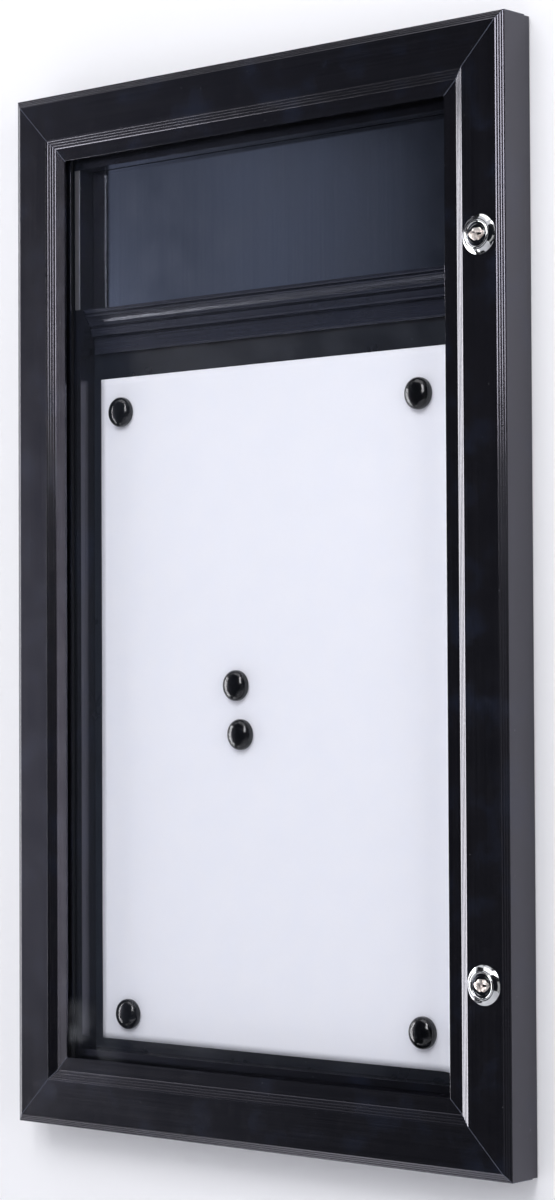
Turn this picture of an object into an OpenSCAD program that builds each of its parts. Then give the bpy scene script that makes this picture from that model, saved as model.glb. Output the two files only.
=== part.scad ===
// Lockable wall notice board for one portrait sheet, with a header compartment
// The origin is the centre of the four wall holes, on the wall: X right, Z up, the front faces -Y.
// Sections are drawn as [inward from the outer edge, depth behind the front face].

/* [Sheet and layout] */
// Width of the sheet that the board holds
poster_w = 297; // [200:1:600]
// Height of the sheet that the board holds
poster_h = 420; // [280:1:850]
// Thickness of the sheet
sheet_t = 0.25; // [0.1:0.05:0.6]
// Spare width inside the case beyond the sheet
spare_w = 1; // [0.5:0.5:6]
// Distance from the left inner wall to the sheet
sheet_left_gap = 6.3; // [3:0.1:9]
// Distance from the bottom inner wall to the sheet
sheet_bottom_gap = 6.2; // [2:0.1:20]
// Distance from the sheet to the header bar
sheet_top_gap = 16.1; // [4:0.1:40]
// Angle at which the pushed right edge of the sheet curls forward
curl_angle = 80; // [70:1:90]
// Height of the header bar
header_bar_h = 28.1; // [24:0.1:40]
// Height of the header compartment above the bar
header_h = 90.1; // [40:0.1:200]

/* [Case] */
// Depth of the closed board from the wall to the door's front face
case_d = 26.5; // [23.8:0.1:40]
// Inward distance to the clear opening of the case
rim_in = 49; // [48:0.1:60]
// Width of the case rim seen behind the glazing
rim_w = 4.5; // [4:0.1:7]
// Wall of the case profiles
case_wall = 1.4; // [1:0.1:1.8]
// Thickness of the plate that lies on the wall
base_t = 1.6; // [1.2:0.1:2]
// Gap between the glazing beads and the case rim
rim_gap = 1; // [0.9:0.1:2]
// Height of the case's outer wall, which shows behind the door
edge_t = 4.9; // [4.6:0.1:6]
// Distance of the case's outer wall inside the door's outer wall
case_inset = 0.4; // [0.2:0.1:0.8]
// Thickness of the steel back panel
panel_t = 1.1; // [0.6:0.1:1.3]
// Thickness of the brushed header panel
header_panel_t = 1; // [0.6:0.1:1.5]
// Reach of the flange that the lock cams catch
catch_w = 11.5; // [8:0.1:12]
// Thickness of the catch flange
catch_t = 1.6; // [1.2:0.1:2]
// Thickness of the light trims beside the header panel
trim_t = 0.5; // [0.3:0.1:0.8]

/* [Wall holes] */
// Radius of the holes for the wall screws
wall_hole_r = 2.75; // [2:0.05:3.5]
// Distance of the wall holes from the top and bottom edges
wall_hole_end = 60; // [56:1:120]

/* [Door profile] */
// Wall of the door profiles
door_wall = 1.8; // [1.4:0.1:2]
// Width of the ribbed outer bevel
bevel_w = 4.9; // [4:0.1:5.4]
// Depth of the ribbed outer bevel
bevel_d = 2.8; // [2:0.1:3.2]
// Inward distance to the end of the flat face
face_in = 28.8; // [28:0.1:30]
// Width of the ribbed inner bevel
inner_bevel_w = 6.2; // [5:0.1:7]
// Depth of the ribbed inner bevel
inner_bevel_d = 2.8; // [2.2:0.1:3.4]
// Inward distance to the edge of the lip over the glazing
lip_in = 43.5; // [42:0.1:44]
// Depth of the lip's edge behind the front face
lip_d = 2.4; // [2:0.1:2.8]
// Thickness of the lip
lip_t = 1.4; // [1:0.1:1.4]
// Number of ribs on each bevel
rib_count = 4; // [2:1:6]
// Depth of the grooves between the ribs
rib_groove = 0.22; // [0.1:0.02:0.3]
// Width of the grooves between the ribs
rib_groove_w = 0.34; // [0.2:0.02:0.6]
// Gap at the parting line
parting_gap = 0.4; // [0.3:0.1:0.6]
// Inward distance of the edge of the flange that carries the hinge
flange_w = 11.7; // [11.4:0.1:11.8]
// Thickness of that flange
flange_t = 2.4; // [1.8:0.1:2.6]
// Hairline at the mitred corners
mitre_gap = 0.1; // [0.05:0.05:0.3]

/* [Glazing] */
// Thickness of the clear glazing
glazing_t = 3; // [2:0.5:4]
// Thickness of the gasket in front of the glazing
gasket_t = 0.5; // [0.3:0.1:1]
// Depth of the beads behind the glazing
bead_t = 2.2; // [1.5:0.1:3]
// Thickness of the foam seal behind the beads
seal_t = 2.9; // [2:0.1:3.4]
// Width of the foam seal
seal_w = 4; // [3:0.1:5]

/* [Hinge] */
// Diameter of the hinge knuckles
knuckle_d = 3.8; // [3.4:0.1:3.8]
// Diameter of the hinge pin
pin_d = 2; // [1.5:0.1:2.2]
// Number of hinge knuckles
knuckle_count = 15; // [7:2:25]
// Thickness of the hinge leaves
leaf_t = 0.8; // [0.6:0.1:0.8]
// Width of the case leaf from the hinge axis
case_leaf_w = 14; // [11:0.5:16]
// Number of screws in each leaf
leaf_screws = 6; // [3:1:10]

/* [Locks] */
// Distance of the upper lock below the top edge
upper_lock_drop = 126.2; // [90:0.1:200]
// Distance of the lower lock above the bottom edge
lower_lock_rise = 109.2; // [90:0.1:200]
// Diameter of the lock escutcheon on the face
escutcheon_d = 23; // [20:0.5:23]
// Diameter of the escutcheon's front rim
lock_rim_d = 16.2; // [14.5:0.1:18]
// Height of the escutcheon in front of the face
lock_out = 3.1; // [2:0.1:5]
// Diameter of the lock barrel behind the face
barrel_d = 16; // [14:0.1:16.4]
// Diameter of the rotating lock plug
plug_d = 11; // [9:0.1:12]
// Width of the nut across its flats
nut_w = 18; // [17:0.1:18.2]
// Thickness of the nut
nut_t = 4; // [2:0.1:6]
// Reach of the cam behind the catch flange when it is locked
cam_catch = 6; // [3:0.1:9]
// Width of the cam
cam_w = 10; // [9.6:0.1:10]
// Thickness of the cam
cam_t = 2; // [1.5:0.1:2.2]

/* [Magnets] */
// Diameter of the magnets
magnet_d = 19; // [15:0.5:22]
// Height of the magnets
magnet_h = 6.8; // [5:0.1:8]
// Height of the magnets' straight side
magnet_side = 1.8; // [1.4:0.1:2.4]
// Thickness of the ferrite disc in each magnet
ferrite_t = 2; // [1:0.1:3]

/* [Hidden] */
$fn = 64;

// Clearances: a seated face, a shaft in its hole and two parts that move apart
seat = 0.1;
fit = 0.05;
apart = 0.3;

// Overall sizes and the clear opening
inner_w = poster_w + spare_w;
inner_h = sheet_bottom_gap + poster_h + sheet_top_gap + header_bar_h + header_h;
case_w = inner_w + 2 * rim_in;
case_h = inner_h + 2 * rim_in;
inner_bottom = -inner_h / 2;
inner_top = inner_h / 2;

// Parting line between door and case, and depths from the wall plate forward to the sheet
parting_d = case_d - edge_t;
plate_d = case_d - base_t;
panel_d = plate_d - seat - panel_t;
groove_d = panel_d - 2 * seat;
header_panel_d = groove_d - header_panel_t;
sheet_d = panel_d - seat - sheet_t;

// Depths through the door, from the lip back to the seal
lip_back_d = inner_bevel_d + lip_t;
gasket_d = lip_back_d + fit;
glazing_d = gasket_d + gasket_t + fit;
bead_d = glazing_d + glazing_t;
bead_back_d = bead_d + bead_t;
bevel_back_d = inner_bevel_d + 1;
step_in = face_in + inner_bevel_w;
web_t = 1.6;
web_in = step_in - 0.8;
glazing_in = web_in + apart;
rim_d = bead_back_d + rim_gap;
catch_d = bead_back_d + seal_t + apart;
catch_in = rim_in - rim_w - catch_w;

// Middle of the flat face, where the locks sit
lock_in = (bevel_w + face_in) / 2;

// Rails behind the face that hold the corner cleats
rail_t = 1.2;
rail_hook = 0.6;
rail_d = 5.6;
rail_half = (face_in - bevel_w) / 2 - rail_t - 0.75;
cleat_t = 2.7;
cleat_arm = 48;
cleat_screw_end = 7;
cleat_play = 0.2;

// Door edge, hinge flange and the small gap behind them
skirt_d = parting_d - parting_gap / 2;
flange_back_d = parting_d - parting_gap / 2 - leaf_t - seat;
flange_front_d = flange_back_d - flange_t;

// Land of the case that carries the hinge
land_d = parting_d + parting_gap / 2 + leaf_t + seat;
land_t = 1.3;
land_near = 6;
land_far = 20;
land_web = 12;
wall_hole_in = (land_far + catch_in) / 2;

// Hinge axis, flush with the outer wall
knuckle_r = knuckle_d / 2;
hinge_in = knuckle_r + seat;
hinge_x = hinge_in - case_w / 2;
relief = knuckle_r + 0.4;
hinge_end = 2.5;
hinge_l = case_h - 2 * hinge_end;
knuckle_pitch = hinge_l / knuckle_count;
leaf_screw_r = 1.4;
leaf_head_r = 2.4;
leaf_screw_in = flange_w - leaf_head_r - apart;
door_leaf_w = flange_w - hinge_in;

// Locks
lock_x = case_w / 2 - lock_in;
upper_lock_z = case_h / 2 - upper_lock_drop;
lower_lock_z = lower_lock_rise - case_h / 2;
barrel_back_d = catch_d + catch_t + seat;
cam_d = catch_d + catch_t + apart;
cam_l = catch_in - lock_in + cam_catch;
dish_d = 0.6;
plug_neck = 0.5;
plug_square = 6.2;
cam_screw_r = 1.5;
cam_head_r = 3;
cam_head_t = 1.5;
key_w = 1.8;
key_l = 7;
key_depth = 6;
// Mirror-like face of the lock around its plug
lock_face_r = lock_rim_d / 2 - 0.8;

// Header bar section: heights below its top edge and depths behind the front face
bar_top = inner_top - header_h;
bar_front_d = rim_d + 1;
bar_cap_h = 2.5;
bar_ridge_h = 11.2;
bar_step_h = 17;
bar_ridge_d = header_panel_d - 4.5;
bar_ridge_out = 0.6;
bar_step_d = header_panel_d - 1.1;
bar_flange_t = 1.2;
bar_wall = 1.2;
end_plate_t = 2;
end_plate_h = 23.5;
bar_screw_r = 0.9;
bar_head_r = 1.5;
bar_head_t = 1.2;
// Drop of the two screws in each end plate below the bar's top edge
bar_screw_drop = [4.2, 7.8];

// Curl of the sheet's right edge, which is as long as the sheet is wider than its place
sheet_x = sheet_left_gap - inner_w / 2;
curl_rad = curl_angle * PI / 180;
sheet_over = poster_w - (inner_w - sheet_left_gap - 0.5);
curl_r = sheet_over / (curl_rad - sin(curl_angle));
flat_end_x = sheet_x + poster_w - curl_r * curl_rad;
sheet_z = inner_bottom + sheet_bottom_gap;

// Magnet places on the sheet, from its left and bottom edges: two above, two in the middle, two below
magnet_at = [[19.1, poster_h - 22.1], [poster_w - 35.3, poster_h - 27.1],
    [poster_w / 2 - 31.5, poster_h / 2 + 13.3], [poster_w / 2 - 28, poster_h / 2 - 16.7],
    [24.1, 16.6], [poster_w - 34.9, 21.3]];
magnet_back_d = sheet_d - apart;
ferrite_r = magnet_d / 2 - 1.5;

// A line from a to b parted into ribs by narrow grooves, which are cut into its left-hand side
function ribbed(a, b) =
    let (along = (b - a) / norm(b - a), inward = [-along[1], along[0]] * rib_groove)
    concat([a], [for (i = [1:rib_count - 1]) for (k = [-1, 0, 1])
        a + (b - a) * i / rib_count + along * k * rib_groove_w / 2 + (k == 0 ? inward : [0, 0])], [b]);

// Section of the door profile: ribbed face, lip, glazing web, cleat rails, hinge flange and skirt
door_section = concat(
    [[0, skirt_d]],
    ribbed([0, bevel_d], [bevel_w, 0]),
    ribbed([face_in, 0], [step_in, inner_bevel_d]),
    [[lip_in, lip_d], [lip_in, lip_d + lip_t], [web_in, lip_back_d], [web_in, bead_back_d]],
    [[web_in - web_t, bead_back_d], [web_in - web_t, bevel_back_d], [face_in - 0.6, door_wall]],
    cleat_rail(1), cleat_rail(-1),
    [[door_wall, bevel_d + 0.8], [door_wall, flange_front_d], [flange_w, flange_front_d]],
    [[flange_w, flange_back_d], [door_wall, flange_back_d], [door_wall, skirt_d]]);

// Hooked rail under the face on one side of the lock line, in the order of the section
function cleat_rail(side) =
    let (near = lock_in + side * rail_half, far = near + side * rail_t, hook = near - side * rail_hook)
    let (points = [[far, door_wall], [far, rail_d], [hook, rail_d], [hook, rail_d - 0.8],
        [near, rail_d - 0.8], [near, door_wall]])
    side > 0 ? points : [for (i = [len(points) - 1:-1:0]) points[i]];

// Section of the case profile: outer wall, hinge land, wall plate, catch flange, rim and inner wall
case_section = [
    [case_inset, case_d], [case_inset, parting_d + parting_gap / 2],
    [case_inset + case_wall, parting_d + parting_gap / 2], [case_inset + case_wall, plate_d],
    [land_web, plate_d], [land_web, land_d + land_t], [land_near, land_d + land_t],
    [land_near, land_d], [land_far, land_d], [land_far, land_d + land_t],
    [land_web + case_wall, land_d + land_t], [land_web + case_wall, plate_d],
    [rim_in - rim_w, plate_d], [rim_in - rim_w, catch_d + catch_t],
    [catch_in, catch_d + catch_t], [catch_in, catch_d],
    [rim_in - rim_w, catch_d], [rim_in - rim_w, rim_d], [rim_in, rim_d], [rim_in, groove_d],
    [rim_in - case_wall, groove_d], [rim_in - case_wall, rim_d + case_wall],
    [rim_in - rim_w + case_wall, rim_d + case_wall], [rim_in - rim_w + case_wall, plate_d],
    [rim_in, plate_d], [rim_in, case_d]];

// Section of a bead, with a chamfer towards the opening
bead_section = [[glazing_in, bead_d + fit], [lip_in - 0.5, bead_d + fit],
    [lip_in - 0.5, bead_d + 0.9], [lip_in - 1.8, bead_back_d], [glazing_in, bead_back_d]];

// Turns the bottom bar of a frame to the side that it belongs to
module on_side(side) {
    turn = side == "left" ? 90 : side == "top" ? 180 : side == "right" ? 270 : 0;
    rotate([0, turn, 0]) children();
}

// Length of the frame along a side and its distance from the middle
function side_run(side) = side == "left" || side == "right" ? case_h : case_w;
function side_half(side) = side == "left" || side == "right" ? case_w / 2 : case_h / 2;

// Runs a flat shape drawn as [height, depth] along X
module along_x(run) {
    translate([0, -case_d, 0]) rotate([0, -90, 0]) linear_extrude(run, center = true) children();
}

// One bar of a frame along its side, its ends mitred at 45 degrees
module mitred_bar(side, section, reach) {
    run = side_run(side);
    half = side_half(side);
    cut = mitre_gap / sqrt(2);
    on_side(side) intersection() {
        translate([0, 0, -half]) along_x(run) polygon(section);
        rotate([90, 0, 0]) linear_extrude(4 * case_d, center = true) polygon([
            [cut - run / 2, -half], [run / 2 - cut, -half],
            [run / 2 - reach - cut, reach - half], [reach + cut - run / 2, reach - half]]);
    }
}

// A round bar or cone along the depth
module round_y(d1, d2, r1, r2 = undef) {
    end_r = r2 == undef ? r1 : r2;
    translate([0, d1 - case_d, 0]) rotate([-90, 0, 0]) cylinder(h = d2 - d1, r1 = r1, r2 = end_r);
}

// A flat plate between two depths, centred at x and z
module plate_y(d1, d2, w, h, x = 0, z = 0) {
    translate([x - w / 2, d1 - case_d, z - h / 2]) cube([w, d2 - d1, h]);
}

// Room for the hinge barrel along the left edge, between two depths
module hinge_relief(d1, d2) {
    translate([-case_w / 2 - 1, d1 - case_d, -case_h / 2 - 1])
        cube([hinge_in + relief + 1, d2 - d1, case_h + 2]);
}

// Puts its children at each corner of a frame, drawn for the bottom left corner
module each_corner() {
    for (x = [0, 1], z = [0, 1]) mirror([x, 0, 0]) mirror([0, 0, z]) children();
}

// L-shaped cleat of a mitred corner, lying between two inward distances
module corner_cleat(near, far, d1, d2) {
    width = far - near;
    arm = cleat_arm - near;
    translate([near - case_w / 2, d1 - case_d, near - case_h / 2]) {
        cube([arm, d2 - d1, width]);
        cube([width, d2 - d1, arm]);
    }
}

// Places of the two screws of a corner cleat, drawn for the bottom left corner
module at_cleat_screws(across) {
    end = cleat_arm - cleat_screw_end;
    for (p = [[end, across], [across, end]])
        translate([p[0] - case_w / 2, 0, p[1] - case_h / 2]) children();
}

back_cleat_near = land_far + 2;
back_cleat_far = land_far + 12;
back_cleat_t = 1.5;
back_cleat_d = plate_d - seat - back_cleat_t;
back_cleat_mid = (back_cleat_near + back_cleat_far) / 2;
back_screw_r = 1.5;

// Case profile of one side, with its cleat screw holes
module back_frame(side) {
    color([0.08, 0.08, 0.09]) difference() {
        mitred_bar(side, case_section, rim_in + 1);
        each_corner() at_cleat_screws(back_cleat_mid)
            round_y(plate_d - 1, case_d + 1, back_screw_r + fit);
        if (side == "left") {
            hinge_relief(parting_d - relief, parting_d + relief);
            at_leaf_screws() round_y(land_d - 1, land_d + land_t + 1, leaf_screw_r + fit);
        }
        if (side == "left" || side == "right") {
            for (x = [-1, 1], z = [-1, 1])
                translate([x * (case_w / 2 - wall_hole_in), 0, z * (case_h / 2 - wall_hole_end)])
                    round_y(plate_d - 1, case_d + 1, wall_hole_r);
            at_bar_screws() side_hole();
        }
    }
}

// Cleats that join the case profiles at their corners
module back_corner_cleats() {
    color([0.6, 0.6, 0.62]) each_corner() difference() {
        corner_cleat(back_cleat_near, back_cleat_far, back_cleat_d, plate_d - seat);
        at_cleat_screws(back_cleat_mid) round_y(back_cleat_d - 1, case_d, back_screw_r + fit);
    }
}

// Screws of the case cleats, with a cross recess in the head
module back_cleat_screws() {
    head_d = back_cleat_d - fit;
    color([0.7, 0.7, 0.72]) each_corner() at_cleat_screws(back_cleat_mid) difference() {
        union() {
            round_y(head_d - 1.4, head_d, 2, 2.6);
            round_y(head_d, case_d - 0.2, back_screw_r);
        }
        for (w = [[2.4, 0.6], [0.6, 2.4]]) plate_y(head_d - 2, head_d - 0.7, w[0], w[1]);
    }
}

// Steel panel in the groove of the case, which the magnets hold on to
module back_panel() {
    reach = rim_w - case_wall - apart;
    color([0.1, 0.1, 0.11])
        plate_y(panel_d, panel_d + panel_t, inner_w + 2 * reach, inner_h + 2 * reach);
}

// Brushed panel of the header compartment, which ends behind the header bar
module header_panel() {
    bottom = bar_top - bar_step_h + 2;
    top = inner_top - apart;
    color([0.25, 0.27, 0.32])
        plate_y(header_panel_d, header_panel_d + header_panel_t, inner_w - 2 * apart,
            top - bottom, 0, (top + bottom) / 2);
}

// Section of the header bar, stepping back from its cap to the flange on the panel
function bar_section(in) = [
    [bar_top - in, bar_front_d + in], [bar_top - bar_cap_h, bar_front_d + in],
    [bar_top - bar_ridge_h, bar_ridge_d + in],
    [bar_top - bar_ridge_h - 0.4, bar_ridge_d - bar_ridge_out + in],
    [bar_top - bar_ridge_h - 1.4, bar_ridge_d + in],
    [bar_top - bar_step_h + in, bar_step_d - in / 2],
    [bar_top - bar_step_h + in, header_panel_d - seat - in], [bar_top - in, header_panel_d - seat - in]];

// Hollow bar between the sheet and the header compartment, with its flange
module header_bar() {
    run = inner_w - 2 * (end_plate_t + apart + seat);
    flange_top = bar_top - bar_step_h + 0.1;
    color([0.13, 0.13, 0.16]) {
        difference() {
            along_x(run) polygon(bar_section(0));
            along_x(run + 2) polygon(bar_section(bar_wall));
        }
        along_x(run) polygon([[flange_top - 0.1, header_panel_d - seat - bar_flange_t],
            [flange_top - 0.1, header_panel_d - seat],
            [bar_top - header_bar_h, header_panel_d - seat],
            [bar_top - header_bar_h, header_panel_d - seat - bar_flange_t]]);
    }
}

// Depth midway between the bar's sloping front and its back, at a drop below its top edge
function bar_middle_d(drop) =
    let (slope = (bar_ridge_d - bar_front_d) / (bar_ridge_h - bar_cap_h))
    (bar_front_d + slope * (drop - bar_cap_h) + header_panel_d - seat) / 2;

// Places of the screws in the header bar's two end plates, on the inner walls
module at_bar_screws() {
    for (side = [-1, 1], drop = bar_screw_drop)
        translate([side * inner_w / 2, bar_middle_d(drop) - case_d, bar_top - drop])
            mirror([side > 0 ? 1 : 0, 0, 0]) children();
}

// Hole of an end plate screw, through the inner wall and the plate
module side_hole() {
    translate([-2 * case_wall, 0, 0]) rotate([0, 90, 0])
        cylinder(h = 2 * case_wall + 2 * end_plate_t, r = bar_screw_r + fit);
}

// Plates at both ends of the header bar, screwed to the inner walls
module header_bar_ends() {
    color([0.1, 0.1, 0.12]) difference() {
        for (side = [-1, 1])
            translate([side * (inner_w / 2 - apart / 3 - end_plate_t / 2), 0, 0])
                plate_y(bar_front_d - 0.4, header_panel_d - seat, end_plate_t, end_plate_h, 0,
                    bar_top - end_plate_h / 2);
        at_bar_screws() side_hole();
    }
}

// Screws of the end plates, with their heads inside the hollow bar
module header_bar_screws() {
    head_x = apart / 3 + end_plate_t + fit;
    color([0.7, 0.7, 0.72]) at_bar_screws() {
        translate([head_x, 0, 0]) rotate([0, 90, 0]) cylinder(h = bar_head_t, r = bar_head_r);
        translate([-case_wall, 0, 0]) rotate([0, 90, 0])
            cylinder(h = case_wall + head_x, r = bar_screw_r);
    }
}

// Light trims on the rim, on both sides of the header compartment
module header_trims() {
    bottom = bar_top + apart;
    top = inner_top - apart;
    color([0.5, 0.5, 0.53]) for (side = [-1, 1])
        plate_y(rim_d - fit - trim_t, rim_d - fit, rim_w - 0.4, top - bottom,
            side * (inner_w / 2 + rim_w / 2), (top + bottom) / 2);
}

// Places of the screws in the hinge leaves
module at_leaf_screws() {
    step = hinge_l / leaf_screws;
    for (i = [0:leaf_screws - 1])
        translate([leaf_screw_in - case_w / 2, 0, (i + 0.5) * step - hinge_l / 2]) children();
}

// One leaf of the hinge with every second knuckle, its plate between two depths
module hinge_leaf(first, leaf_w, d1, d2) {
    difference() {
        union() {
            translate([hinge_x + knuckle_r + apart, d1 - case_d, -hinge_l / 2])
                cube([leaf_w - knuckle_r - apart, d2 - d1, hinge_l]);
            for (i = [first:2:knuckle_count - 1])
                translate([hinge_x, 0, i * knuckle_pitch - hinge_l / 2 + apart / 2]) {
                    translate([0, d1 - case_d, 0])
                        cube([knuckle_r + apart + 0.1, d2 - d1, knuckle_pitch - apart]);
                    translate([0, parting_d - case_d, 0])
                        cylinder(h = knuckle_pitch - apart, d = knuckle_d);
                }
        }
        translate([hinge_x, parting_d - case_d, -hinge_l / 2 - 1])
            cylinder(h = hinge_l + 2, d = pin_d + 2 * fit);
    }
}

// Countersunk screw of a hinge leaf, larger by a clearance where it is a hole
module leaf_screw(head_d, tip_d, more) {
    taper = (leaf_t - 0.1) * (head_d < tip_d ? 1 : -1);
    if (head_d < tip_d) {
        round_y(head_d, head_d + taper, leaf_head_r + more, leaf_screw_r + more);
        round_y(head_d, tip_d, leaf_screw_r + more);
    } else {
        round_y(head_d + taper, head_d, leaf_screw_r + more, leaf_head_r + more);
        round_y(tip_d, head_d, leaf_screw_r + more);
    }
}

case_leaf_d = parting_d + parting_gap / 2;
door_leaf_d = parting_d - parting_gap / 2;

// Hinge leaf on the land of the case
module hinge_case_leaf() {
    color([0.12, 0.12, 0.13]) difference() {
        hinge_leaf(0, case_leaf_w, case_leaf_d, case_leaf_d + leaf_t);
        at_leaf_screws() leaf_screw(case_leaf_d, land_d, fit);
    }
}

// Hinge leaf on the flange of the door
module hinge_door_leaf() {
    color([0.12, 0.12, 0.13]) difference() {
        hinge_leaf(1, door_leaf_w, door_leaf_d - leaf_t, door_leaf_d);
        at_leaf_screws() leaf_screw(door_leaf_d, flange_back_d, fit);
    }
}

// Pin through all the knuckles
module hinge_pin() {
    color([0.7, 0.7, 0.72]) translate([hinge_x, parting_d - case_d, -hinge_l / 2])
        cylinder(h = hinge_l, d = pin_d);
}

// Screws of the case leaf
module hinge_case_screws() {
    color([0.2, 0.2, 0.22]) at_leaf_screws() leaf_screw(case_leaf_d, land_d + land_t + 0.5, 0);
}

// Screws of the door leaf
module hinge_door_screws() {
    color([0.2, 0.2, 0.22]) at_leaf_screws() leaf_screw(door_leaf_d, flange_front_d - 0.5, 0);
}

// Sheet on the panel, flat but for its right edge, which curls forward along the wall
module paper_sheet() {
    middle_d = sheet_d + sheet_t / 2;
    centre = [flat_end_x, middle_d - curl_r];
    arc = [for (i = [0:16]) i / 16 * curl_angle];
    outer = [for (a = arc) centre + (curl_r + sheet_t / 2) * [sin(a), cos(a)]];
    inner = [for (i = [16:-1:0]) centre + (curl_r - sheet_t / 2) * [sin(arc[i]), cos(arc[i])]];
    color([0.93, 0.94, 0.97]) translate([0, -case_d, sheet_z]) linear_extrude(poster_h)
        polygon(concat([[sheet_x, sheet_d + sheet_t]], outer, inner, [[sheet_x, sheet_d]]));
}

// Door profile of one side
module door_bar(side) {
    color([0.07, 0.07, 0.08]) difference() {
        mitred_bar(side, door_section, lip_in + 1);
        hinge_relief(parting_d - relief, case_d);
        if (side == "left")
            at_leaf_screws() round_y(flange_front_d - 1, case_d, leaf_screw_r + fit);
        if (side == "right")
            at_locks() round_y(-1, door_wall + 1, barrel_d / 2 + seat);
    }
}

cleat_d = door_wall + seat;
door_screw_r = 2;

// Cleats in the rails behind the door's mitred corners
module door_corner_cleats() {
    near = lock_in - rail_half + cleat_play;
    far = lock_in + rail_half - cleat_play;
    color([0.6, 0.6, 0.62]) each_corner() difference() {
        corner_cleat(near, far, cleat_d, cleat_d + cleat_t);
        at_cleat_screws(lock_in) round_y(0, case_d, door_screw_r + fit);
    }
}

// Set screws that brace the door cleats against the face, each with a hexagon socket
module door_cleat_screws() {
    color([0.3, 0.3, 0.32]) each_corner() at_cleat_screws(lock_in) difference() {
        round_y(door_wall, cleat_d + cleat_t + 1, door_screw_r);
        round_y(cleat_d + cleat_t - 1, cleat_d + cleat_t + 2, 1.1, $fn = 6);
    }
}

// Clear sheet in the door
module glazing() {
    color([0.85, 0.9, 0.95, 0.25]) plate_y(glazing_d, glazing_d + glazing_t,
        case_w - 2 * glazing_in, case_h - 2 * glazing_in);
}

// Four gasket strips between the lip and the glazing
module glazing_gasket() {
    color([0.05, 0.05, 0.05]) for (side = ["left", "right", "top", "bottom"])
        mitred_bar(side, [[web_in + 0.8, gasket_d], [lip_in - 1, gasket_d],
            [lip_in - 1, gasket_d + gasket_t], [web_in + 0.8, gasket_d + gasket_t]], lip_in + 1);
}

// Bead behind the glazing on one side
module glazing_bead(side) {
    color([0.06, 0.06, 0.07]) mitred_bar(side, bead_section, lip_in + 1);
}

// Foam seal on the beads, which meets the catch flange
module door_seal() {
    near = catch_in + catch_w / 2 - seal_w / 2;
    color([0.05, 0.05, 0.05]) for (side = ["left", "right", "top", "bottom"])
        mitred_bar(side, [[near, bead_back_d], [near + seal_w, bead_back_d],
            [near + seal_w, bead_back_d + seal_t], [near, bead_back_d + seal_t]], lip_in + 1);
}

// Puts its children at both locks
module at_locks() {
    for (z = [upper_lock_z, lower_lock_z]) translate([lock_x, 0, z]) children();
}

// Conical escutcheon and threaded barrel, with a stepped bore for the plug
module lock_housing() {
    color([0.75, 0.75, 0.78]) difference() {
        union() {
            round_y(-lock_out, 0, lock_rim_d / 2, escutcheon_d / 2);
            round_y(0, barrel_back_d, barrel_d / 2);
        }
        round_y(-lock_out - 1, -lock_out + dish_d, lock_face_r);
        round_y(-lock_out - 1, 0, plug_d / 2 + fit);
        round_y(-1, case_d, plug_d / 2 - plug_neck + fit);
    }
}

// Nut on the barrel behind the face
module lock_nut() {
    color([0.7, 0.68, 0.6]) difference() {
        rotate([0, 30, 0]) round_y(cleat_d, cleat_d + nut_t, nut_w / sqrt(3), $fn = 6);
        round_y(0, case_d, barrel_d / 2 + fit);
    }
}

// Plug that turns in the barrel, with a keyway in front and a square for the cam behind
module lock_plug() {
    color([0.8, 0.8, 0.82]) difference() {
        union() {
            round_y(-lock_out + 0.3, -fit, plug_d / 2);
            round_y(-0.1, cam_d - fit, plug_d / 2 - plug_neck);
            plate_y(cam_d - 0.1, cam_d + cam_t, plug_square, plug_square);
        }
        plate_y(-lock_out - 1, -lock_out + key_depth, key_l, key_w);
        round_y(cam_d - 4, case_d, cam_screw_r + fit);
    }
}

// Flat cam on the plug's square, upright while the lock is open
module lock_cam() {
    hole = plug_square + 2 * fit;
    color([0.72, 0.72, 0.74]) difference() {
        union() {
            round_y(cam_d, cam_d + cam_t, cam_w / 2);
            plate_y(cam_d, cam_d + cam_t, cam_w, cam_l - 2, 0, cam_l / 2 - 1);
            plate_y(cam_d, cam_d + cam_t, cam_w - 4, cam_l, 0, cam_l / 2);
            for (x = [-1, 1]) translate([x * (cam_w / 2 - 2), 0, cam_l - 2])
                round_y(cam_d, cam_d + cam_t, 2);
        }
        plate_y(cam_d - 1, cam_d + cam_t + 1, hole, hole);
    }
}

// Screw that holds the cam on its square
module lock_cam_screw() {
    head_d = cam_d + cam_t + fit;
    color([0.7, 0.7, 0.72]) difference() {
        union() {
            round_y(head_d, head_d + cam_head_t, cam_head_r + 0.8, cam_head_r);
            round_y(cam_d - 3.5, head_d, cam_screw_r);
        }
        for (w = [[3, 0.8], [0.8, 3]]) plate_y(head_d + 0.6, case_d, w[0], w[1]);
    }
}

// Puts its children at the upper or the lower lock
module at_lock(z) {
    translate([lock_x, 0, z]) children();
}

// Puts its children at one magnet's place on the sheet
module at_magnet(i) {
    translate([sheet_x + magnet_at[i][0], 0, sheet_z + magnet_at[i][1]]) children();
}

// Domed cap with a pocket behind for the ferrite disc
module magnet_cap() {
    r = magnet_d / 2;
    rise = magnet_h - magnet_side;
    dome = [for (i = [0:12]) [r * cos(i * 7.5), magnet_side + rise * sin(i * 7.5)]];
    color([0.1, 0.1, 0.12]) difference() {
        translate([0, magnet_back_d - case_d, 0]) rotate([90, 0, 0])
            rotate_extrude() polygon(concat([[0, 0], [r - 0.4, 0], [r, 0.4]], dome));
        round_y(magnet_back_d - ferrite_t - seat, magnet_back_d + 1, ferrite_r + seat);
    }
}

// Ferrite disc in the cap's pocket
module magnet_ferrite() {
    color([0.2, 0.2, 0.21]) round_y(magnet_back_d - ferrite_t, magnet_back_d, ferrite_r);
}

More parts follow.
